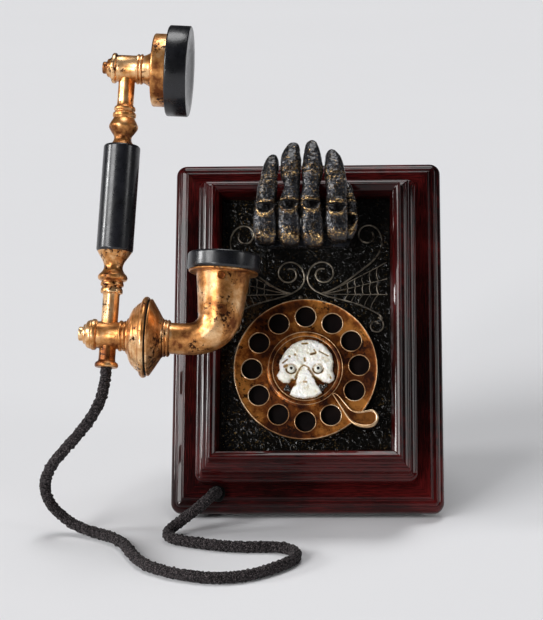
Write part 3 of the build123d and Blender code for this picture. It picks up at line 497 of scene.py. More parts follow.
# ---- cord ----
def cord_line():
    """Control points of the cord, in metres, from the handset's ferrule to the board's grommet."""
    floor = cord_radius + 0.1
    leave = [tuple(1000 * c for c in HANDSET @ Vector((0, 0, z))) for z in (-20.6, -32.6)]
    arrive = [tuple(1000 * c for c in BOARD @ Vector((-58, 11.4, z))) for z in (24.3, 16.3)]
    route = leave + [
        (-129.2, -92.6, 88.6), (-136.2, -95.2, 78.2), (-145.2, -95, 67.4), (-155, -92.5, 56.6),
        (-163.2, -89.2, 45.2), (-167.4, -85.6, 32.6), (-165.4, -83, 21), (-158.4, -83.2, 12.4),
        (-148.6, -86.2, 6), (-137.5, -91.6, floor), (-125, -98.6, floor), (-114.6, -110.6, floor),
        (-108, -127.5, floor), (-99.4, -145, floor), (-84, -157.6, floor), (-66, -165.6, floor),
        (-48, -168.2, floor), (-30.6, -163, floor), (-14.8, -150, floor), (-4.4, -137, floor),
        (-5.2, -123.6, floor), (-17, -117, floor), (-33, -117.6, floor), (-49.5, -116.4, floor),
        (-65.5, -111.4, floor), (-77, -107.2, floor), (-85, -102.4, floor), (-88.6, -96, floor),
        (-86.8, -89.6, 4.6), (-81.4, -85.8, 8), (-74.6, -84, 12.4), (-67.6, -82, 17.4),
        (-61.8, -78.9, 22.2)] + arrive
    return [tuple(c * 0.001 for c in point) for point in route]


def smooth_line(points):
    """The smooth NURBS line of control points, as points read from the curve."""
    curve = bpy.data.curves.new("line", "CURVE")
    curve.dimensions = "3D"
    spline = curve.splines.new("NURBS")
    spline.points.add(len(points) - 1)
    for control, point in zip(spline.points, points):
        control.co = (*point, 1.0)
    spline.order_u = 3
    spline.use_endpoint_u = True
    spline.resolution_u = 24
    holder = bpy.data.objects.new("line", curve)
    mesh = bpy.data.meshes.new_from_object(holder)
    line = [v.co.copy() for v in mesh.vertices]
    bpy.data.meshes.remove(mesh)
    bpy.data.objects.remove(holder)
    return line


def spaced(line, step):
    """Points at even steps along a line, with its length."""
    lengths = [0]
    for a, b in zip(line, line[1:]):
        lengths.append(lengths[-1] + (b - a).length)
    count = max(int(lengths[-1] / step), 2)
    made = []
    at = 0
    for index in range(count + 1):
        target = lengths[-1] * index / count
        while at < len(line) - 2 and lengths[at + 1] < target:
            at += 1
        share = (target - lengths[at]) / max(lengths[at + 1] - lengths[at], 1e-9)
        made.append(line[at].lerp(line[at + 1], min(share, 1)))
    return made, lengths[-1]


def braided_cord():
    """Strands that cross over one another round the cord's line."""
    step, pitch, strands, sides = 0.0007, 0.015, 4, 40
    line, length = spaced(smooth_line(cord_line()), step)
    normal = Vector((1, 0, 0))
    points = []
    for index, here in enumerate(line):
        ahead = line[min(index + 1, len(line) - 1)] - line[max(index - 1, 0)]
        ahead.normalize()
        normal = (normal - ahead * normal.dot(ahead)).normalized()
        side = ahead.cross(normal)
        twist = 2 * pi * index * length / (len(line) - 1) / pitch
        for k in range(sides):
            angle = 2 * pi * k / sides
            one = abs(cos(0.5 * strands * (angle - twist)))
            other = abs(cos(0.5 * strands * (angle + twist)))
            knot = noise.noise(Vector((index * 0.42, 2.4 * cos(angle), 2.4 * sin(angle))))
            lift = 0.7 * max(one, other) ** 1.6 + 1.1 * knot
            radius = 0.001 * cord_radius * (0.8 + 0.26 * lift)
            point = here + radius * (cos(angle) * normal + sin(angle) * side)
            points.append((point.x, point.y, max(point.z, 0)))
    piece = add_mesh("braided_cord", points, tube_faces(len(line), sides), Matrix.Identity(4),
                     MATERIALS["black_braid"], 60)
    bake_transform(piece)
    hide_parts("handset_cord")


# ---- board and mouldings ----
def wooden_frame():
    moulding("moulded_board", "base_board", [
        (0.8, 0), (0, 0.8, 0.8), (0, 4.6), (0.3, 6.2, 1), (2, 8.2, 1.4), (3.4, 8.8, 0.3),
        (3.6, 10.2, 0.3), (4.4, 11.6, 0.8), (7.4, 12.4, 0.5), (7.9, 14.6, 0.4), (8.5, 15.5, 0.5),
        (20, 15.5)], 0, board_corner, window=(51, 40, 172))
    moulding("stepped_moulding", "raised_moulding", [
        (raised_inset, 15.5), (raised_inset, 26.6), (17.7, 27.8, 0.6), (18.9, 28.5, 0.3), (19.1, 28.3, 0.1),
        (20.4, 29.1, 0.5), (20.6, 29, 0.1), (21.5, 29.7, 0.3), (21.6, 38.8), (22, 39.9, 0.5),
        (23.5, 40.9, 0.5), (23.7, 40.7, 0.1), (25.2, 41.7, 0.6), (25.4, 41.6, 0.1), (26.9, 42.9, 0.6),
        (27.1, 44.8, 0.3), (34, 44.8), (34, 34.9), (38, 34.9), (38, 15.5)],
        raised_inset, raised_corner)
    moulding("crest_rail", "crest_moulding", [
        (27.3, 44.8), (27.3, 51.4), (27.5, 52.6, 0.5), (28.4, 53.4, 0.7), (30.6, 52.3, 1),
        (32.4, 50.9, 0.5), (34, 44.8)], 27.3, 0)


# ---- ornament of the face plate ----
def spiral(centre, radius, start, sweep, shrink):
    """Points of a scroll that winds inwards about centre, with the angles in degrees."""
    count = max(int(abs(sweep) / 40), 3)
    points = []
    for index in range(count + 1):
        share = index / count
        angle = radians(start + sweep * share)
        reach = radius * (1 - shrink * share)
        points.append((centre[0] + reach * cos(angle), centre[1] + reach * sin(angle)))
    return points


def on_plate(points, side, lift=0.5):
    """Points about the dial panel's middle line, in the board's axes; side -1 mirrors them."""
    return [(side * x, board_height / 2 + y, plate_front + lift) for x, y in points]


def scroll_work():
    """Wire scrolls of the plate, the same on both sides."""
    routes = []
    for side in (1, -1):
        inner = [
            (47.7, 5.9), (39.5, 10.5), (32.4, 13.3), (23.8, 15.8), (13.5, 18.4), (6.6, 21.6), (2.6, 25),
            (0.9, 29.4), (1.2, 33)] + spiral((11, 33.6), 9.2, 150, -440, 0.62)
        hook = spiral((45.4, -1.6), 6, 80, -400, 0.62)
        routes.append(on_plate(list(reversed(inner)) + [(50.4, 3)] + hook, side))
        outer = spiral((40.4, 59.4), 8.2, 20, 380, 0.55)
        sweep = [
            (10, 20.4), (13.8, 21.2), (19.8, 24), (27.7, 29.3), (35.7, 35.4), (43.6, 41.6),
            (48.4, 48.2), (50.2, 55.4)]
        routes.append(on_plate(sweep + outer, side))
    wire_path("wire_scrolls", routes, 0.55, BOARD, WIRE, "root", "black_hammered_plate")


def cobweb():
    """Threads that fan out from beside the dial, tied by sagging cross threads."""
    routes = []
    apex = (12, 20)
    ends = [(52.5, 41), (53, 30), (53, 19.4), (47, 7)]
    for side in (1, -1):
        for end in ends[:3]:
            middle = ((apex[0] + end[0]) / 2, (apex[1] + end[1]) / 2 - 0.6)
            routes.append(on_plate([apex, middle, end], side, 0.3))
        for share in (0.38, 0.5, 0.62, 0.74, 0.86):
            knots = [(apex[0] + (x - apex[0]) * share, apex[1] + (y - apex[1]) * share) for x, y in ends]
            for (x0, y0), (x1, y1) in zip(knots, knots[1:]):
                sag = ((x0 + x1) / 2 - 2.56 * share, (y0 + y1) / 2)
                routes.append(on_plate([(x0, y0), sag, (x1, y1)], side, 0.3))
    wire_path("cobweb_threads", routes, 0.3, BOARD, WIRE, "root", "black_hammered_plate")


def plate_stud():
    lathe("plate_stud", [(1.6, 0), (1.5, 0.6, 0.5), (0.8, 1.3, 0.5), (0, 1.4)],
          BOARD @ shift(-3.6, board_height / 2 + 17.6, plate_front), WIRE, "root", "black_hammered_plate",
          sides=24)


# ---- dial ----
hole_ring = 34.6
hole_radius = 6.6
# eight evenly pitched holes, three closer ones beside the finger stop and one on its other side
hole_angles = [60 + 30 * i for i in range(8)] + [31.8 - 28.2 * i for i in range(3)] + [298.2]
HOLES = [(hole_ring * cos(a), hole_ring * sin(a)) for a in map(radians, hole_angles)]


def cut(piece, tool):
    """Takes the tool's solid out of a piece."""
    step = piece.modifiers.new("cut", "BOOLEAN")
    step.operation = "DIFFERENCE"
    step.solver = "EXACT"
    step.object = tool
    bpy.context.view_layer.update()
    graph = bpy.context.evaluated_depsgraph_get()
    mesh = bpy.data.meshes.new_from_object(piece.evaluated_get(graph))
    piece.modifiers.clear()
    piece.data = mesh
    bpy.data.objects.remove(tool)
    mesh.shade_smooth()
    mesh.set_sharp_from_angle(angle=radians(30))


def finger_wheel():
    """Dished wheel with a rolled edge, twelve holes and their rubbed rims."""
    f = dial_front
    wheel = lathe("finger_wheel", [
        (3, f - 2), (44.6, f - 2), (44.6, f - 3), (45.8, f - 3.2, 0.5), (46.4, f - 2.4, 0.5),
        (46.4, f - 0.1, 0.5), (46.1, f + 0.3, 0.3), (45.5, f + 0.3, 0.2), (45.2, f, 0.2),
        (38, f - 0.35, 6), (30, f - 0.35, 6), (26, f, 1), (3, f)], DIAL, COPPER,
        sides=144, closed=True)
    sides = 40
    points = []
    faces = []
    for x, y in HOLES:
        faces += [tuple(len(points) + v for v in face) for face in tube_faces(2, sides)]
        points += ring(hole_radius, f - 6, sides, x, y) + ring(hole_radius, f + 4, sides, x, y)
    tool = add_mesh("hole_cutter", points, faces, DIAL)
    cut(wheel, tool)
    belongs(wheel, "dial", "antique_copper", "dial_wheel")
    rims = [round_wire(x, y, hole_radius + 0.2, f - 0.15, 16) for x, y in HOLES]
    rims.append(round_wire(0, 0, 46, f + 0.35, 48))
    wire_path("rubbed_rims", rims, 0.3, DIAL, EDGE, "dial", "antique_copper", True)


def round_wire(x, y, radius, height, count):
    """Control points of a round wire; they stand outside the circle that the curve draws."""
    return ring(radius / (0.75 + 0.25 * cos(2 * pi / count)), height, count, x, y)


def hub_cup():
    """Cup of the dial with two rubbed edges and the brown ground that shows beside the jaw."""
    f = dial_front
    lathe("hub_ring", [
        (0, f - 0.3), (25.2, f - 0.3), (25.2, f + 0.5, 0.4), (24.4, f + 0.8, 0.3), (23.9, f + 0.9, 0.2),
        (23.9, f + 1.8, 0.4), (22.9, f + 2.2, 0.6), (21.6, f + 2, 0.5), (21.1, f + 1.2, 0.4),
        (20.9, f + 0.8, 0.2), (0, f + 0.8)], DIAL, COPPER, "dial", "antique_copper", "dial_hub", sides=144)
    rims = [round_wire(0, 0, 23.9, f + 1.95, 32), round_wire(0, 0, 21.2, f + 1.75, 32)]
    wire_path("hub_edges", rims, 0.26, DIAL, EDGE, "dial", "antique_copper", True)
    lathe("medallion_ground", [(0, 0.05), (20.8, 0.05), (20.8, 0.5, 0.3), (0, 0.6)], HUB, COPPER,
          "dial", "antique_copper")


def bell(distance, width):
    """A smooth hump, 1 at distance 0."""
    return exp(-(distance / width) ** 2)


EYES = ((-9, -0.9), (8.2, -0.9))
SKULL_OUTLINE = [
    (1.4, 19), (-3.4, 18.2), (-8.2, 15.9), (-13.2, 10.9), (-14.6, 8.2), (-16.4, 5.2), (-16.8, 2.2),
    (-16.4, -1.2), (-18.3, -4.7), (-17.2, -7.6), (-14.3, -9.7), (-10.6, -9.8), (-8.4, -8.2), (-5.4, -6.6),
    (0, -6), (5.6, -6.6), (9, -7.9), (12.1, -9.5), (15.5, -9.8), (18.3, -8.4), (19, -5.2),
    (17.5, -1.8), (18, 4), (16.5, 9.5), (13.2, 14.2), (8.4, 17.6)]
JAW_OUTLINE = [
    (-0.9, 0.6), (-2.9, -1.2), (-4.3, -4.7), (-5.6, -8.9), (-6.8, -11.5), (-8.5, -14.7), (-9.5, -17.5),
    (-6.4, -18.9), (-0.2, -19.8), (6.2, -18.8), (10.2, -16.4), (8.8, -13.4), (7.3, -11.2), (6.2, -8.9),
    (4.5, -5), (1.7, -1)]
# brown marks: two ends, half width, strength
MARKS = [
    ((-3.4, -1), (-6.4, -6.4), 0.42, 0.75), ((1.9, -1.2), (4.6, -4.6), 0.24, 0.9),
    ((5.2, -6), (9.6, -8.9), 0.75, 0.85), ((-8.2, -8.6), (-7, -11), 1, 1),
    ((6.9, -9.2), (7.9, -11), 0.5, 0.9), ((-1.9, 15.6), (1.2, 15.8), 0.45, 0.7),
    ((3.8, 8.6), (6.4, 9.2), 0.5, 0.9), ((5.7, 11.6), (6.9, 9.8), 0.28, 0.7),
    ((9.2, 10.5), (14.6, 7.5), 0.26, 0.85), ((-0.3, 6), (-0.1, 4.4), 0.5, 0.6),
    ((-6.6, 8.5), (-6.4, 8.3), 0.5, 0.6), ((-10.2, 7.4), (-10, 7.2), 0.45, 0.7),
    ((-14.4, 3), (-11.6, 5.1), 0.32, 0.85), ((-13.2, 0.6), (-11.8, 1.4), 0.7, 0.6),
    ((16.4, -7.2), (16.2, -6.6), 0.4, 0.6), ((-0.9, -9.6), (0.6, -9.7), 0.6, 0.45)]


def to_segment(x, y, a, b):
    """Distance from a point to the segment between a and b."""
    run = (b[0] - a[0], b[1] - a[1])
    share = ((x - a[0]) * run[0] + (y - a[1]) * run[1]) / (run[0] ** 2 + run[1] ** 2)
    share = min(max(share, 0), 1)
    return hypot(x - a[0] - share * run[0], y - a[1] - share * run[1])


def depth_in(x, y, outline):
    """Distance from a point to a closed outline, negative outside it."""
    nearest = 99
    inside = False
    for a, b in zip(outline, outline[1:] + outline[:1]):
        nearest = min(nearest, to_segment(x, y, a, b))
        if (a[1] > y) != (b[1] > y) and x < a[0] + (y - a[1]) / (b[1] - a[1]) * (b[0] - a[0]):
            inside = not inside
    return nearest if inside else -nearest


def rolled(depth, reach):
    """0 at an edge, rising round to 1 at the reach inside it."""
    share = min(max(depth / reach, 0), 1)
    return sqrt(1 - (1 - share) ** 2)


def skull_relief(x, y):
    """Height of the skull over the hub's floor, and how brown the spot is: stains, and painted shade by the
    eyes and jaw.
    """
    brown = 0
    height = -1
    waver = 0.35 * noise.noise(Vector((x * 0.5, y * 0.5, 1.3)))
    inside = depth_in(x, y, SKULL_OUTLINE) + waver
    if inside > 0:
        height = 0.6 + 2 * rolled(inside, 2.2) + 1.5 * rolled(inside, 15)
    for ex, ey in EYES:
        side = copysign(1, ex)
        reach = hypot((x - ex) / 1.1, y - ey)
        height -= 1.2 * bell(reach, 3.3)
        height += 0.35 * bell(reach - 5.2, 1.4) * (0.5 if y < ey else 1)
        height += 0.6 * bell(hypot(x - side * 14.6, (y + 5.6) / 0.9), 3.6)
        # painted shade in a ring round each eye bead, strongest below it
        under = 1 if y < ey + 0.4 else 0.35
        brown = max(brown, under * min(1.4 * bell(reach - 3, 0.45), 1))
    height -= 0.6 * bell(hypot(x / 1.2, y - 4.6), 2.6)
    for a, b, half, strength in MARKS:
        mark = strength * min(1.6 * bell(to_segment(x, y, a, b), half + 0.1), 1)
        brown = max(brown, mark)
        height -= 0.55 * mark
    jaw = depth_in(x, y, JAW_OUTLINE) + 0.5 * waver
    if jaw > -0.4:
        ridge = 1.6 + 1.9 * rolled(jaw + 0.4, 1.2) + 0.9 * rolled(jaw, 5) - 0.4 * bell(y + 10.4, 1.2)
        if y > -5:
            ridge -= 0.2 * (y + 5)
        height = max(height, ridge)
    else:
        # painted shade in the crease beside the jaw
        brown = max(brown, 0.8 * bell(jaw + 0.7, 0.5) * (1 if y > -10.5 else 0))
    rough = 0.34 * noise.noise(Vector((x * 0.55, y * 0.55, 3.1)))
    rough += 0.2 * noise.noise(Vector((x * 1.5, y * 1.5, 7.7)))
    return height + rough * (height > 0.4), min(brown, 1)


def marked(piece, name, values):
    """Stores one number for each vertex, for a material to read."""
    layer = piece.data.attributes.new(name, "FLOAT", "POINT")
    layer.data.foreach_set("value", values)


def skull_face():
    """Skull as a relief over a fine grid, with edges dropped to the hub's floor."""
    step = 0.26
    reach = 20.5
    count = int(2 * reach / step) + 1
    relief = {}
    for i in range(count):
        for j in range(count):
            relief[i, j] = skull_relief(-reach + i * step, -reach + j * step)
    index = {}
    points = []
    stain_and_shade = []
    for (i, j), (height, brown) in relief.items():
        near = [relief.get((i + di, j + dj), (-1, 0))[0] for di in (-1, 0, 1) for dj in (-1, 0, 1)]
        if max(near) > 0:
            index[i, j] = len(points)
            points.append((-reach + i * step, -reach + j * step, max(height, 0)))
            # painted shade where the relief drops to the hub's floor, on top of the stains and shade from
            # skull_relief
            stain_and_shade.append(min(max(brown, 0.9 * bell(max(height, 0), 0.8)), 1))
    faces = []
    for i, j in index:
        corners = [(i, j), (i + 1, j), (i + 1, j + 1), (i, j + 1)]
        if all(c in index for c in corners):
            faces.append(tuple(index[c] for c in corners))
    piece = add_mesh("skull_face", points, faces, HUB, MATERIALS["ivory_bone"], weld=False)
    marked(piece, "stain_and_shade", stain_and_shade)
    belongs(piece, "dial", "ivory_bone", "skull_medallion")


def skull_beads():
    """Dark worn back teeth beside the jaw, then glossy eyes with pupils."""
    spots = [(-11.6, -12), (-10.4, -14.2), (-12.6, -13.8), (9.8, -11.8), (11.6, -12.4), (10.6, -14),
             (12.9, -11.4)]
    for number, (x, y) in enumerate(spots):
        lathe("worn_tooth_%d" % (number + 1), [(1.45, 0.4), (1.4, 1.3, 0.5), (0.8, 1.9, 0.5), (0, 2)],
              HUB @ shift(x, y, 0), PUPIL, "dial", "antique_copper", sides=20)
    for name, (x, y) in zip(("left_eye", "right_eye"), EYES):
        place = HUB @ shift(x, y, 2.6)
        lathe(name, [(2.7, 0), (2.6, 1.2, 1.2), (1.6, 2.4, 1.4), (0, 2.8)], place,
              MATERIALS["eye_glass"], "dial", "eye_glass", "skull_eyes", sides=40)
        lathe(name + "_pupil", [(1.15, 2.1), (1.05, 2.7, 0.3), (0, 2.95)], place, PUPIL, "dial",
              "eye_glass", sides=24)


def finger_stop():
    """Comma-shaped stop with a bright rim that thickens round the bulb."""
    # x, y from the dial's axis and the rim's thickness
    outline = [
        (16.8, -16.2, 0.3), (20.6, -17.4, 0.4), (25, -23, 0.45), (28.8, -27.8, 0.5), (33, -29.6, 0.6),
        (38, -28.8, 0.7), (42.6, -27.8, 0.8), (45.8, -30.2, 1), (46, -34.4, 1.2), (43.4, -37.8, 1.3),
        (38.8, -38.6, 1.3), (33.2, -37.6, 1.1), (28.4, -34.4, 0.8), (24, -27.4, 0.6), (20, -20.8, 0.45)]
    low = dial_front + 1.6
    curve, holder = nurbs("stop_outline", [[(x, y, 0) for x, y, _ in outline]], True, 6)
    curve.dimensions = "2D"
    curve.fill_mode = "BOTH"
    curve.extrude = 0.5
    mesh = bpy.data.meshes.new_from_object(holder)
    points = [(v.co.x, v.co.y, v.co.z + low + 0.5) for v in mesh.vertices]
    faces = [tuple(p.vertices) for p in mesh.polygons]
    bpy.data.objects.remove(holder)
    blade = add_mesh("stop_blade", points, faces, DIAL, MATERIALS["worn_copper"])
    belongs(blade, "root", "antique_copper", "finger_stop")
    wire_path("stop_rim", [[(x, y, low + 1) for x, y, _ in outline]], 0.9, DIAL, EDGE, "root",
              "antique_copper", True, [thick for _, _, thick in outline])
    lathe("stop_post", [(3.8, plate_front), (3.8, low + 0.4)], DIAL @ shift(40.2, -32.8, 0), COPPER,
          "root", "antique_copper", sides=48)


# ---- skeleton hand ----
def spread(stations, share):
    """Numbers of the stations at a share of the way, on a smooth line through them."""
    spot = share * (len(stations) - 1)
    i = min(int(spot), len(stations) - 2)
    t = spot - i
    rows = [stations[min(max(i + k, 0), len(stations) - 1)] for k in (-1, 0, 1, 2)]
    values = []
    for a, b, c, d in zip(*rows):
        values.append(0.5 * (2 * b + (c - a) * t + (2 * a - 5 * b + 4 * c - d) * t * t
                             + (3 * b - a - 3 * c + d) * t ** 3))
    return values


def course(stations, share):
    """The stations' numbers at a share of the way, a little after and a little before."""
    return [spread(stations, at) for at in (share, min(share + 0.01, 1), max(share - 0.01, 0))]


def bone_finger(name, node, ledge, end_joint, stations):
    """A tube through the stations, with the relief of the bones on it."""
    around, along = 60, 190
    low = stations[0][1]
    points = []
    worn = []
    stain_and_shade = []
    for i in range(along + 1):
        (x, up, out, half, depth), (_, up2, out2, *_), (_, up1, out1, *_) = course(stations, i / along)
        heading = Vector((0, up2 - up1, out2 - out1)).normalized()
        front = Vector((0, -heading.z, heading.y))
        calm = min((along - i) / 14, 1)
        for k in range(around):
            angle = 2 * pi * k / around
            cosine, sine = cos(angle), sin(angle)
            power = 0.62 if up < ledge - 4 else 0.9
            side = copysign(abs(cosine) ** power, cosine) * half
            face = copysign(abs(sine) ** power, sine) * depth
            facing = max(sine, 0)
            soft = facing ** 0.4
            lobe = noise.noise(Vector((x + side, up, face)) * 0.3)
            grit = noise.noise(Vector((x + side, up, face)) * 0.95)
            aside = abs(side / half)
            crescent = up - (ledge - 6.8 + 6 * aside ** 2.6 + 0.7 * lobe)
            step = up - (ledge + 0.25 * grit)
            pit = min(max((crescent - 0.6) / 1.2, 0), 1) * min(max((0.2 - step) / 0.6, 0), 1)
            band = bell(up - low - 4.6 + lobe, 1.9)
            knot = bell(up - end_joint, 3.4)
            relief = soft * (
                0.8 * bell(crescent, 1.1) - 1.5 * pit + 0.6 * (step > 0) * bell(step, 2.6) + 0.35 * band
                - 0.9 * bell(up - low, 1.4) - 0.7 * bell(up - end_joint - 0.6 * lobe, 0.7)
                + knot * (0.75 * lobe + 0.65 * grit))
            relief += 0.42 * lobe + 0.32 * grit
            centre = Vector((x, up, out))
            push = calm * relief
            out_by = Vector((side + push * cosine * 0.6, 0, 0)) + front * (face + push * sine)
            points.append(centre + out_by)
            gold = soft * (0.95 * bell(crescent + 0.5, 1.3) + 0.9 * (step > 0) * bell(step, 2)
                           + 0.62 * band + 0.62 * knot * (1 - 0.7 * bell(up - end_joint, 0.9)))
            gold += 0.6 * max(lobe - 0.05, 0) + 0.08
            worn.append(min(gold, 1))
            # painted shade in the pits, at the knuckle end, in the end joint's groove and on the sides
            # turned towards the plate
            dark = max(facing * pit, 0.85 * bell(up - low, 2.2),
                       0.7 * facing * bell(up - end_joint - 0.6 * lobe, 0.5))
            stain_and_shade.append(min(dark + 0.8 * (1 - facing) ** 3 * (sine < 0.1), 1))
    faces = tube_faces(along + 1, around)
    piece = add_mesh(name, points, faces, BOARD, MATERIALS["gunmetal_bone"], weld=False)
    marked(piece, "worn", worn)
    marked(piece, "stain_and_shade", stain_and_shade)
    belongs(piece, "root", "gunmetal_bone", node)


# piece, CAD node, heights of the ledge and the end joint, and the stations from the knuckle to the tip:
# x, up, out, half width and half depth
FINGERS = [
    ("little_bones", "little_finger", 186.6, 203, [
        (-24.3, 163.9, 72, 5.6, 3.6), (-24.6, 166, 76, 7, 5.2), (-24.5, 170.5, 78.2, 7.5, 6),
        (-24.8, 176.4, 79, 7.5, 6), (-24.8, 181, 79.6, 7.1, 6.2), (-24.7, 185, 79.8, 6.6, 6.2),
        (-24.6, 188.3, 79.6, 6.4, 5.8), (-24, 193, 79.3, 6.5, 5.6), (-23.4, 198.2, 79.1, 6.5, 5.8),
        (-22.9, 202.4, 78.8, 6, 5.6), (-22.4, 205.5, 78.5, 5.2, 4.8), (-21.7, 210, 77.6, 5.3, 4.6),
        (-21.2, 214, 76.4, 5, 4.2), (-20.6, 218, 74.8, 4, 3.4), (-20.4, 221, 73.4, 2.6, 2.2),
        (-20.4, 222.6, 72.6, 0.5, 0.6)]),
    ("ring_bones", "ring_finger", 188.6, 208, [
        (-8.7, 162.5, 72.5, 5.4, 3.6), (-9.2, 165.5, 76.6, 6.9, 5.4), (-9.4, 171, 78.3, 7.5, 6),
        (-9.6, 177, 78.8, 7.2, 6), (-9.8, 182, 79.2, 6.8, 6.2), (-9.8, 186.4, 79.5, 6.6, 6.2),
        (-9.5, 190, 79.4, 6.4, 5.8), (-8.6, 193.5, 79.2, 5.8, 5.2), (-7.9, 197.5, 79.1, 5.1, 4.8),
        (-7.9, 201.5, 78.9, 5.3, 5), (-8.5, 205.2, 78.7, 6.1, 5.6), (-8.8, 208.6, 78.4, 6.6, 6),
        (-8.6, 212.3, 77.8, 6.6, 5.6), (-8.5, 216.7, 76.8, 6.7, 5.2), (-8.5, 221.5, 75.4, 6, 4.4),
        (-7.8, 226, 74, 4.8, 3.4), (-7, 229.2, 72.8, 3.2, 2.4), (-6.8, 230.8, 72.2, 0.6, 0.7)]),
    ("middle_bones", "middle_finger", 188.6, 209, [
        (6.6, 161.8, 72.5, 5.4, 3.6), (5.9, 164.8, 76.8, 6.9, 5.4), (5.6, 170, 78.1, 7.3, 6),
        (5.4, 176, 78.7, 7, 6), (5.2, 180.6, 79.1, 6.7, 6.2), (4.7, 185, 79.4, 6.5, 6.2),
        (4.3, 189, 79.5, 6.4, 5.8), (3.9, 192.6, 79.4, 6.2, 5.4), (4.2, 196.8, 79.2, 5.6, 4.9),
        (4.6, 200.8, 79, 5.7, 5.1), (5, 204.6, 78.8, 6.4, 5.7), (5.2, 208.7, 78.5, 6.9, 6.1),
        (5.4, 213.4, 77.9, 6.6, 5.7), (5.3, 218.2, 76.7, 6, 5), (5, 223.2, 75.2, 5.2, 4.3),
        (4.7, 227.6, 73.8, 4.2, 3.4), (4.7, 230.6, 72.8, 3, 2.4), (4.7, 232.2, 72.2, 0.5, 0.6)]),
    ("index_bones", "index_finger", 186.4, 205.4, [
        (22, 164.6, 73, 5.2, 3.6), (21.5, 168, 77, 6.6, 5.4), (21, 172.5, 78.6, 7, 6),
        (20.7, 177.5, 79.1, 7, 6), (20.8, 182.5, 79.4, 6.8, 6.2), (20.8, 186.8, 79.5, 6.7, 6.2),
        (20.8, 190.6, 79.3, 6.6, 5.8), (20.9, 195.5, 79.1, 6.6, 5.4), (20.6, 200.5, 78.9, 6.9, 5.8),
        (20.1, 204.4, 78.6, 6.9, 5.8), (19.7, 207.8, 78.3, 6.8, 5.8), (19.3, 212.2, 77.5, 6.4, 5.4),
        (18.8, 217, 76.1, 5.6, 4.7), (18.2, 221, 74.6, 4.5, 3.8), (17.7, 223.8, 73.4, 3, 2.6),
        (17.5, 225.4, 72.5, 0.7, 0.8)]),
    ("thumb_bones", "thumb", 182, 193, [
        (27.6, 167.5, 65.5, 3.6, 4.2), (29.2, 173, 67.4, 4.2, 4.6), (30.2, 178.5, 68.4, 4.2, 4.6),
        (30.3, 183, 68.6, 3.9, 4.3), (29.8, 188, 68.7, 3.5, 4.1), (29.6, 192.5, 68.6, 3.6, 4.2),
        (28.8, 197, 68.3, 3.2, 3.8), (28, 202, 67.8, 2.5, 3), (27.3, 205.6, 67.2, 0.6, 0.7)])]


def skeleton_hand():
    for finger in FINGERS:
        bone_finger(*finger)


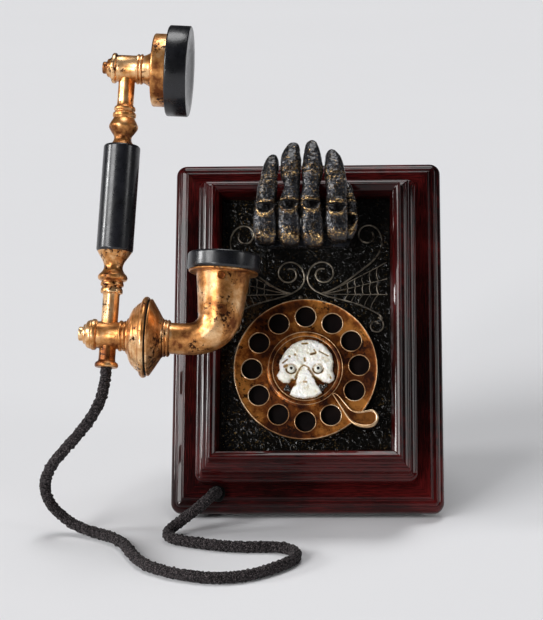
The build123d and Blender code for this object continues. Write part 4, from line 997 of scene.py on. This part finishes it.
# ---- handset ----
# piece, CAD node, axes and profile of (radius, height) points, from the ear down to the mouth
TURNED_PIECES = [
    ("ear_cap", "receiver_cap", UPPER, [
        (0, 34.6), (20, 34.6), (20, 26.3), (28.6, 26.3), (29.2, 26.9, 0.5), (29.2, 39.6),
        (28.7, 40.3, 0.5), (23, 40.3, 1.2), (16, 38.6, 5), (8, 37.7, 3), (0, 37.6)]),
    ("ear_cup", "receiver_cup", UPPER, [
        (0, 10.2), (8.8, 10.2), (9.3, 11.8, 1.5), (10.8, 14.6, 3), (13, 16.6, 1.2), (22.8, 16.8, 0.5),
        (23.5, 17.5, 0.6), (23.5, 25.9), (0, 25.9)]),
    ("top_barrel", "upper_barrel", UPPER, [
        (0, -9.8), (9.2, -9.8), (9.8, -9.3, 0.5), (9.8, -7.7, 0.6), (9.2, -7, 0.5), (8.5, -6.6, 0.4),
        (8.7, -5, 1), (8.7, 5.4), (9, 5.9, 0.3), (9.7, 6.3, 0.4), (9.7, 7.5, 0.5), (9, 7.9, 0.3),
        (9.2, 8.2, 0.2), (9.8, 8.6, 0.4), (9.8, 9.6, 0.5), (9.2, 10), (0, 10)]),
    ("top_finial", "upper_finial", UPPER, [
        (0, -16.1), (3.4, -16.1), (3.9, -15.6, 0.4), (3.9, -13.9), (4.4, -13.4, 0.5), (5.8, -12.8, 0.6),
        (6, -11.6, 0.5), (7.2, -10.4, 0.8), (7.2, -9.9), (0, -9.9)]),
    ("top_neck", "upper_neck", HANDSET, [
        (0, 122.5), (7.6, 122.5), (7.2, 123.6, 0.6), (5.7, 125.6, 1.6), (5.5, 128.6, 2), (7.4, 131, 1.8),
        (9.7, 134.6, 1.6), (8.4, 137.8, 2), (6.9, 140.2, 1.2), (6.8, 140.9, 0.3), (7.5, 141.6, 0.6),
        (7.5, 143.8, 0.6), (6.3, 144.6, 0.5), (6.2, 145.2, 0.3), (7, 146, 0.6), (6.8, 147.8, 0.6),
        (5.6, 148.6, 0.4), (5.3, 150, 1), (5.3, 172), (0, 172)]),
    ("grip_sleeve", "grip", HANDSET, [
        (0, 53.5), (10.8, 53.5), (11.75, 54.4, 0.8), (11.75, 121.6, 0.8), (10.8, 122.5), (0, 122.5)]),
    ("low_neck", "lower_neck", HANDSET, [
        (0, 2), (5.3, 2), (5.3, 25.6), (5.6, 26.4, 0.4), (6.9, 26.8, 0.4), (7.1, 28.2, 0.8),
        (6.8, 29.8, 0.5), (6.2, 30.4, 0.3), (6.4, 31, 0.3), (7.4, 31.6, 0.5), (7.3, 33.4, 0.6),
        (6.8, 34, 0.3), (7.2, 34.5, 0.4), (9.4, 35.6, 1), (9.5, 38, 1.4), (7.2, 40.2, 1.4),
        (6.1, 42.2, 1.6), (5.9, 44.6, 1.6), (7, 47.4, 2.2), (9.6, 51.2, 2.2), (10.9, 53.5), (0, 53.5)]),
    ("low_barrel", "lower_barrel", LOWER, [
        (0, -10.6), (9.3, -10.6), (9.9, -10.1, 0.5), (9.9, -8.2, 0.6), (9.2, -7.4, 0.5), (8.5, -7, 0.4),
        (8.7, -5.4, 1), (8.7, 6.2), (9, 6.7, 0.3), (9.8, 7.1, 0.4), (9.8, 8.5, 0.5), (9.1, 9, 0.3),
        (9.1, 9.4, 0.2), (9.6, 9.8, 0.4), (9.6, 11, 0.4), (9, 11.4), (0, 11.4)]),
    ("low_finial", "lower_finial", LOWER, [
        (0, -18.9), (4, -18.9), (4.5, -18.4, 0.4), (4.5, -16.6), (4.9, -16.1, 0.4), (6.2, -15.7, 0.4),
        (6.3, -14.9, 0.4), (6.9, -14.3, 0.4), (8.5, -13.5, 1), (9.2, -11.4, 0.8), (9.2, -10.7),
        (0, -10.7)]),
    ("cord_socket", "cord_ferrule", HANDSET, [
        (0, -20.6), (6.8, -20.6), (7.4, -20.1, 0.5), (7.5, -18.4, 0.6), (6.8, -17.4, 0.6),
        (5.5, -16.6, 0.6), (5.3, -15, 0.6), (5.3, -6), (0, -6)]),
    ("dished_bell", "transmitter_bell", LOWER, [
        (0, 11.5), (10.6, 11.5), (11.4, 12, 0.4), (11.6, 12.9, 0.3), (15, 13.6, 2), (18.6, 15.6, 2),
        (19.6, 17.4, 0.8), (20.6, 17.7, 0.3), (20.9, 18.4, 0.4), (21.8, 19.4, 0.6), (22.4, 20.6, 0.4),
        (24.6, 21.2, 0.8), (25.7, 22.4, 0.8), (25.8, 23.8, 0.8), (25.2, 24.6), (0, 24.6)]),
    ("bell_cone", "transmitter_cone", LOWER, [
        (0, 25.6), (23.8, 25.6), (24.5, 25.9, 0.3), (24.4, 26.8, 0.5), (18.2, 30.8, 4), (12.7, 34, 0.8),
        (12.3, 34.7), (0, 34.7)]),
    ("bead_collar", "horn_collar", LOWER, [
        (0, 34.8), (11.2, 34.8), (12, 35.4, 0.5), (11.9, 36.4, 0.5), (11, 36.9, 0.3), (11.7, 37.4, 0.4),
        (11.8, 38.4, 0.5), (10.8, 39.1), (0, 39.1)]),
    ("mouth_ring", "mouth_flange", MOUTH, [
        (15.4, 43), (17.2, 42.8), (18.4, 43.1, 0.8), (21.6, 43.2, 0.5), (22.2, 43.8, 0.4), (21.9, 44.5),
        (15.4, 44.5)]),
    ("mouth_cap", "mouthpiece_cap", MOUTH, [
        (0, 44.6), (22.2, 44.6), (23.2, 45.6, 0.8), (23.2, 54.4, 0.9), (22.4, 55.3, 0.8),
        (21, 55.2, 0.6), (19.4, 53.4, 2), (16, 49.6, 4), (8, 47, 3), (0, 46.6)])]


def turned_pieces():
    for name, node, place, profile in TURNED_PIECES:
        slot = "black_ebonite" if name in ("ear_cap", "grip_sleeve", "mouth_cap") else "antique_brass"
        lathe(name, profile, place, MATERIALS[slot], "handset", slot, node, closed=name == "mouth_ring")
    lathe("horn_stud", [(2.6, 16.2), (2.6, 17.6), (2.2, 17.9, 0.3), (1.9, 17.3, 0.2), (0, 17.3)],
          MOUTH @ shift(0, 0, 39.6) @ turn(90, "X"), COPPER, "handset", "antique_brass", "horn_screw",
          sides=32)


def horn():
    """Curved horn that swells from the collar to the mouth."""
    stations = [
        (39.2, 0.2, 9.9), (49.5, 0.2, 10), (58, 1.7, 10.8), (64.8, 6, 12.2), (68.9, 12.6, 13.5),
        (70, 21, 14.7), (horn_out, 32, 15.9), (horn_out, 43, 17.1)]
    along, around = 70, 80
    points = []
    side = Vector((0, 1, 0))
    for i in range(along + 1):
        (out, up, radius), (o2, u2, _), (o1, u1, _) = course(stations, i / along)
        heading = Vector((o2 - o1, 0, u2 - u1)).normalized()
        lift = heading.cross(side)
        for k in range(around):
            angle = 2 * pi * k / around
            points.append(Vector((out, 0, up)) + radius * (cos(angle) * side + sin(angle) * lift))
    piece = add_mesh("curved_horn", points, grid_faces(along + 1, around), HANDSET, BRASS)
    belongs(piece, "handset", "antique_brass", "horn_elbow")


# ---- stage ----
def studio():
    """Pale seamless floor, soft light from the left and above, and a weak fill."""
    floor = Shader("studio_floor")
    floor.link(floor.ramp(floor.noise(2), [(0.3, (0.755, 0.757, 0.775)), (0.7, (0.765, 0.767, 0.785))]),
               "Base Color")
    floor.set(Roughness=0.9, Specular_IOR_Level=0.05)
    # flat near the object, and rising gently far away, so that low views don't look past its edge
    rings = ((4, 0), (7, 0.05), (14, 0.4), (45, 2.6))
    sides = 64
    points = [point for radius, height in rings for point in ring(radius, height, sides)]
    faces = [tuple(range(sides))] + grid_faces(len(rings), sides)
    mesh = bpy.data.meshes.new("floor")
    mesh.from_pydata(points, [], faces)
    mesh.materials.append(floor.material)
    made = linked(bpy.data.objects.new("floor", mesh))

    def sun(name, source, power, spread_angle):
        """A far soft lamp that shines from source towards the origin."""
        data = bpy.data.lights.new(name, "SUN")
        data.energy = power
        data.angle = radians(spread_angle)
        lit = linked(bpy.data.objects.new(name, data))
        lit.rotation_euler = (-Vector(source)).to_track_quat("-Z", "Y").to_euler()

    sun("key", (-0.9, -0.1, 0.32), 1.2, 12)
    sun("soft_key", (-0.66, -0.5, 0.56), 1.6, 26)
    sun("overhead", (0.05, 0.3, 1), 1.45, 32)
    sun("front", (-0.55, -0.95, 0.2), 1.1, 12)
    sun("fill", (0.9, -0.35, 0.45), 0.25, 16)
    world = bpy.data.worlds.new("studio")
    world.use_nodes = True
    world.node_tree.nodes["Background"].inputs[0].default_value = (0.95, 0.96, 1, 1)
    world.node_tree.nodes["Background"].inputs[1].default_value = 0.03
    bpy.context.scene.world = world
    bpy.context.scene.view_settings.view_transform = "Standard"


def dress_cad_nodes():
    """Gives every CAD node the finish of its slot in the record."""
    for part in frame["record"]["subparts"]:
        shown = frame["nodes"][part["node"]]
        shown.data.materials.clear()
        shown.data.materials.append(MATERIALS[part["material_slot"]])


for build in (make_camera, dress_cad_nodes, braided_cord, wooden_frame, scroll_work, cobweb,
              plate_stud, finger_wheel, hub_cup, skull_face, skull_beads, finger_stop, skeleton_hand,
              turned_pieces, horn, studio):
    build()
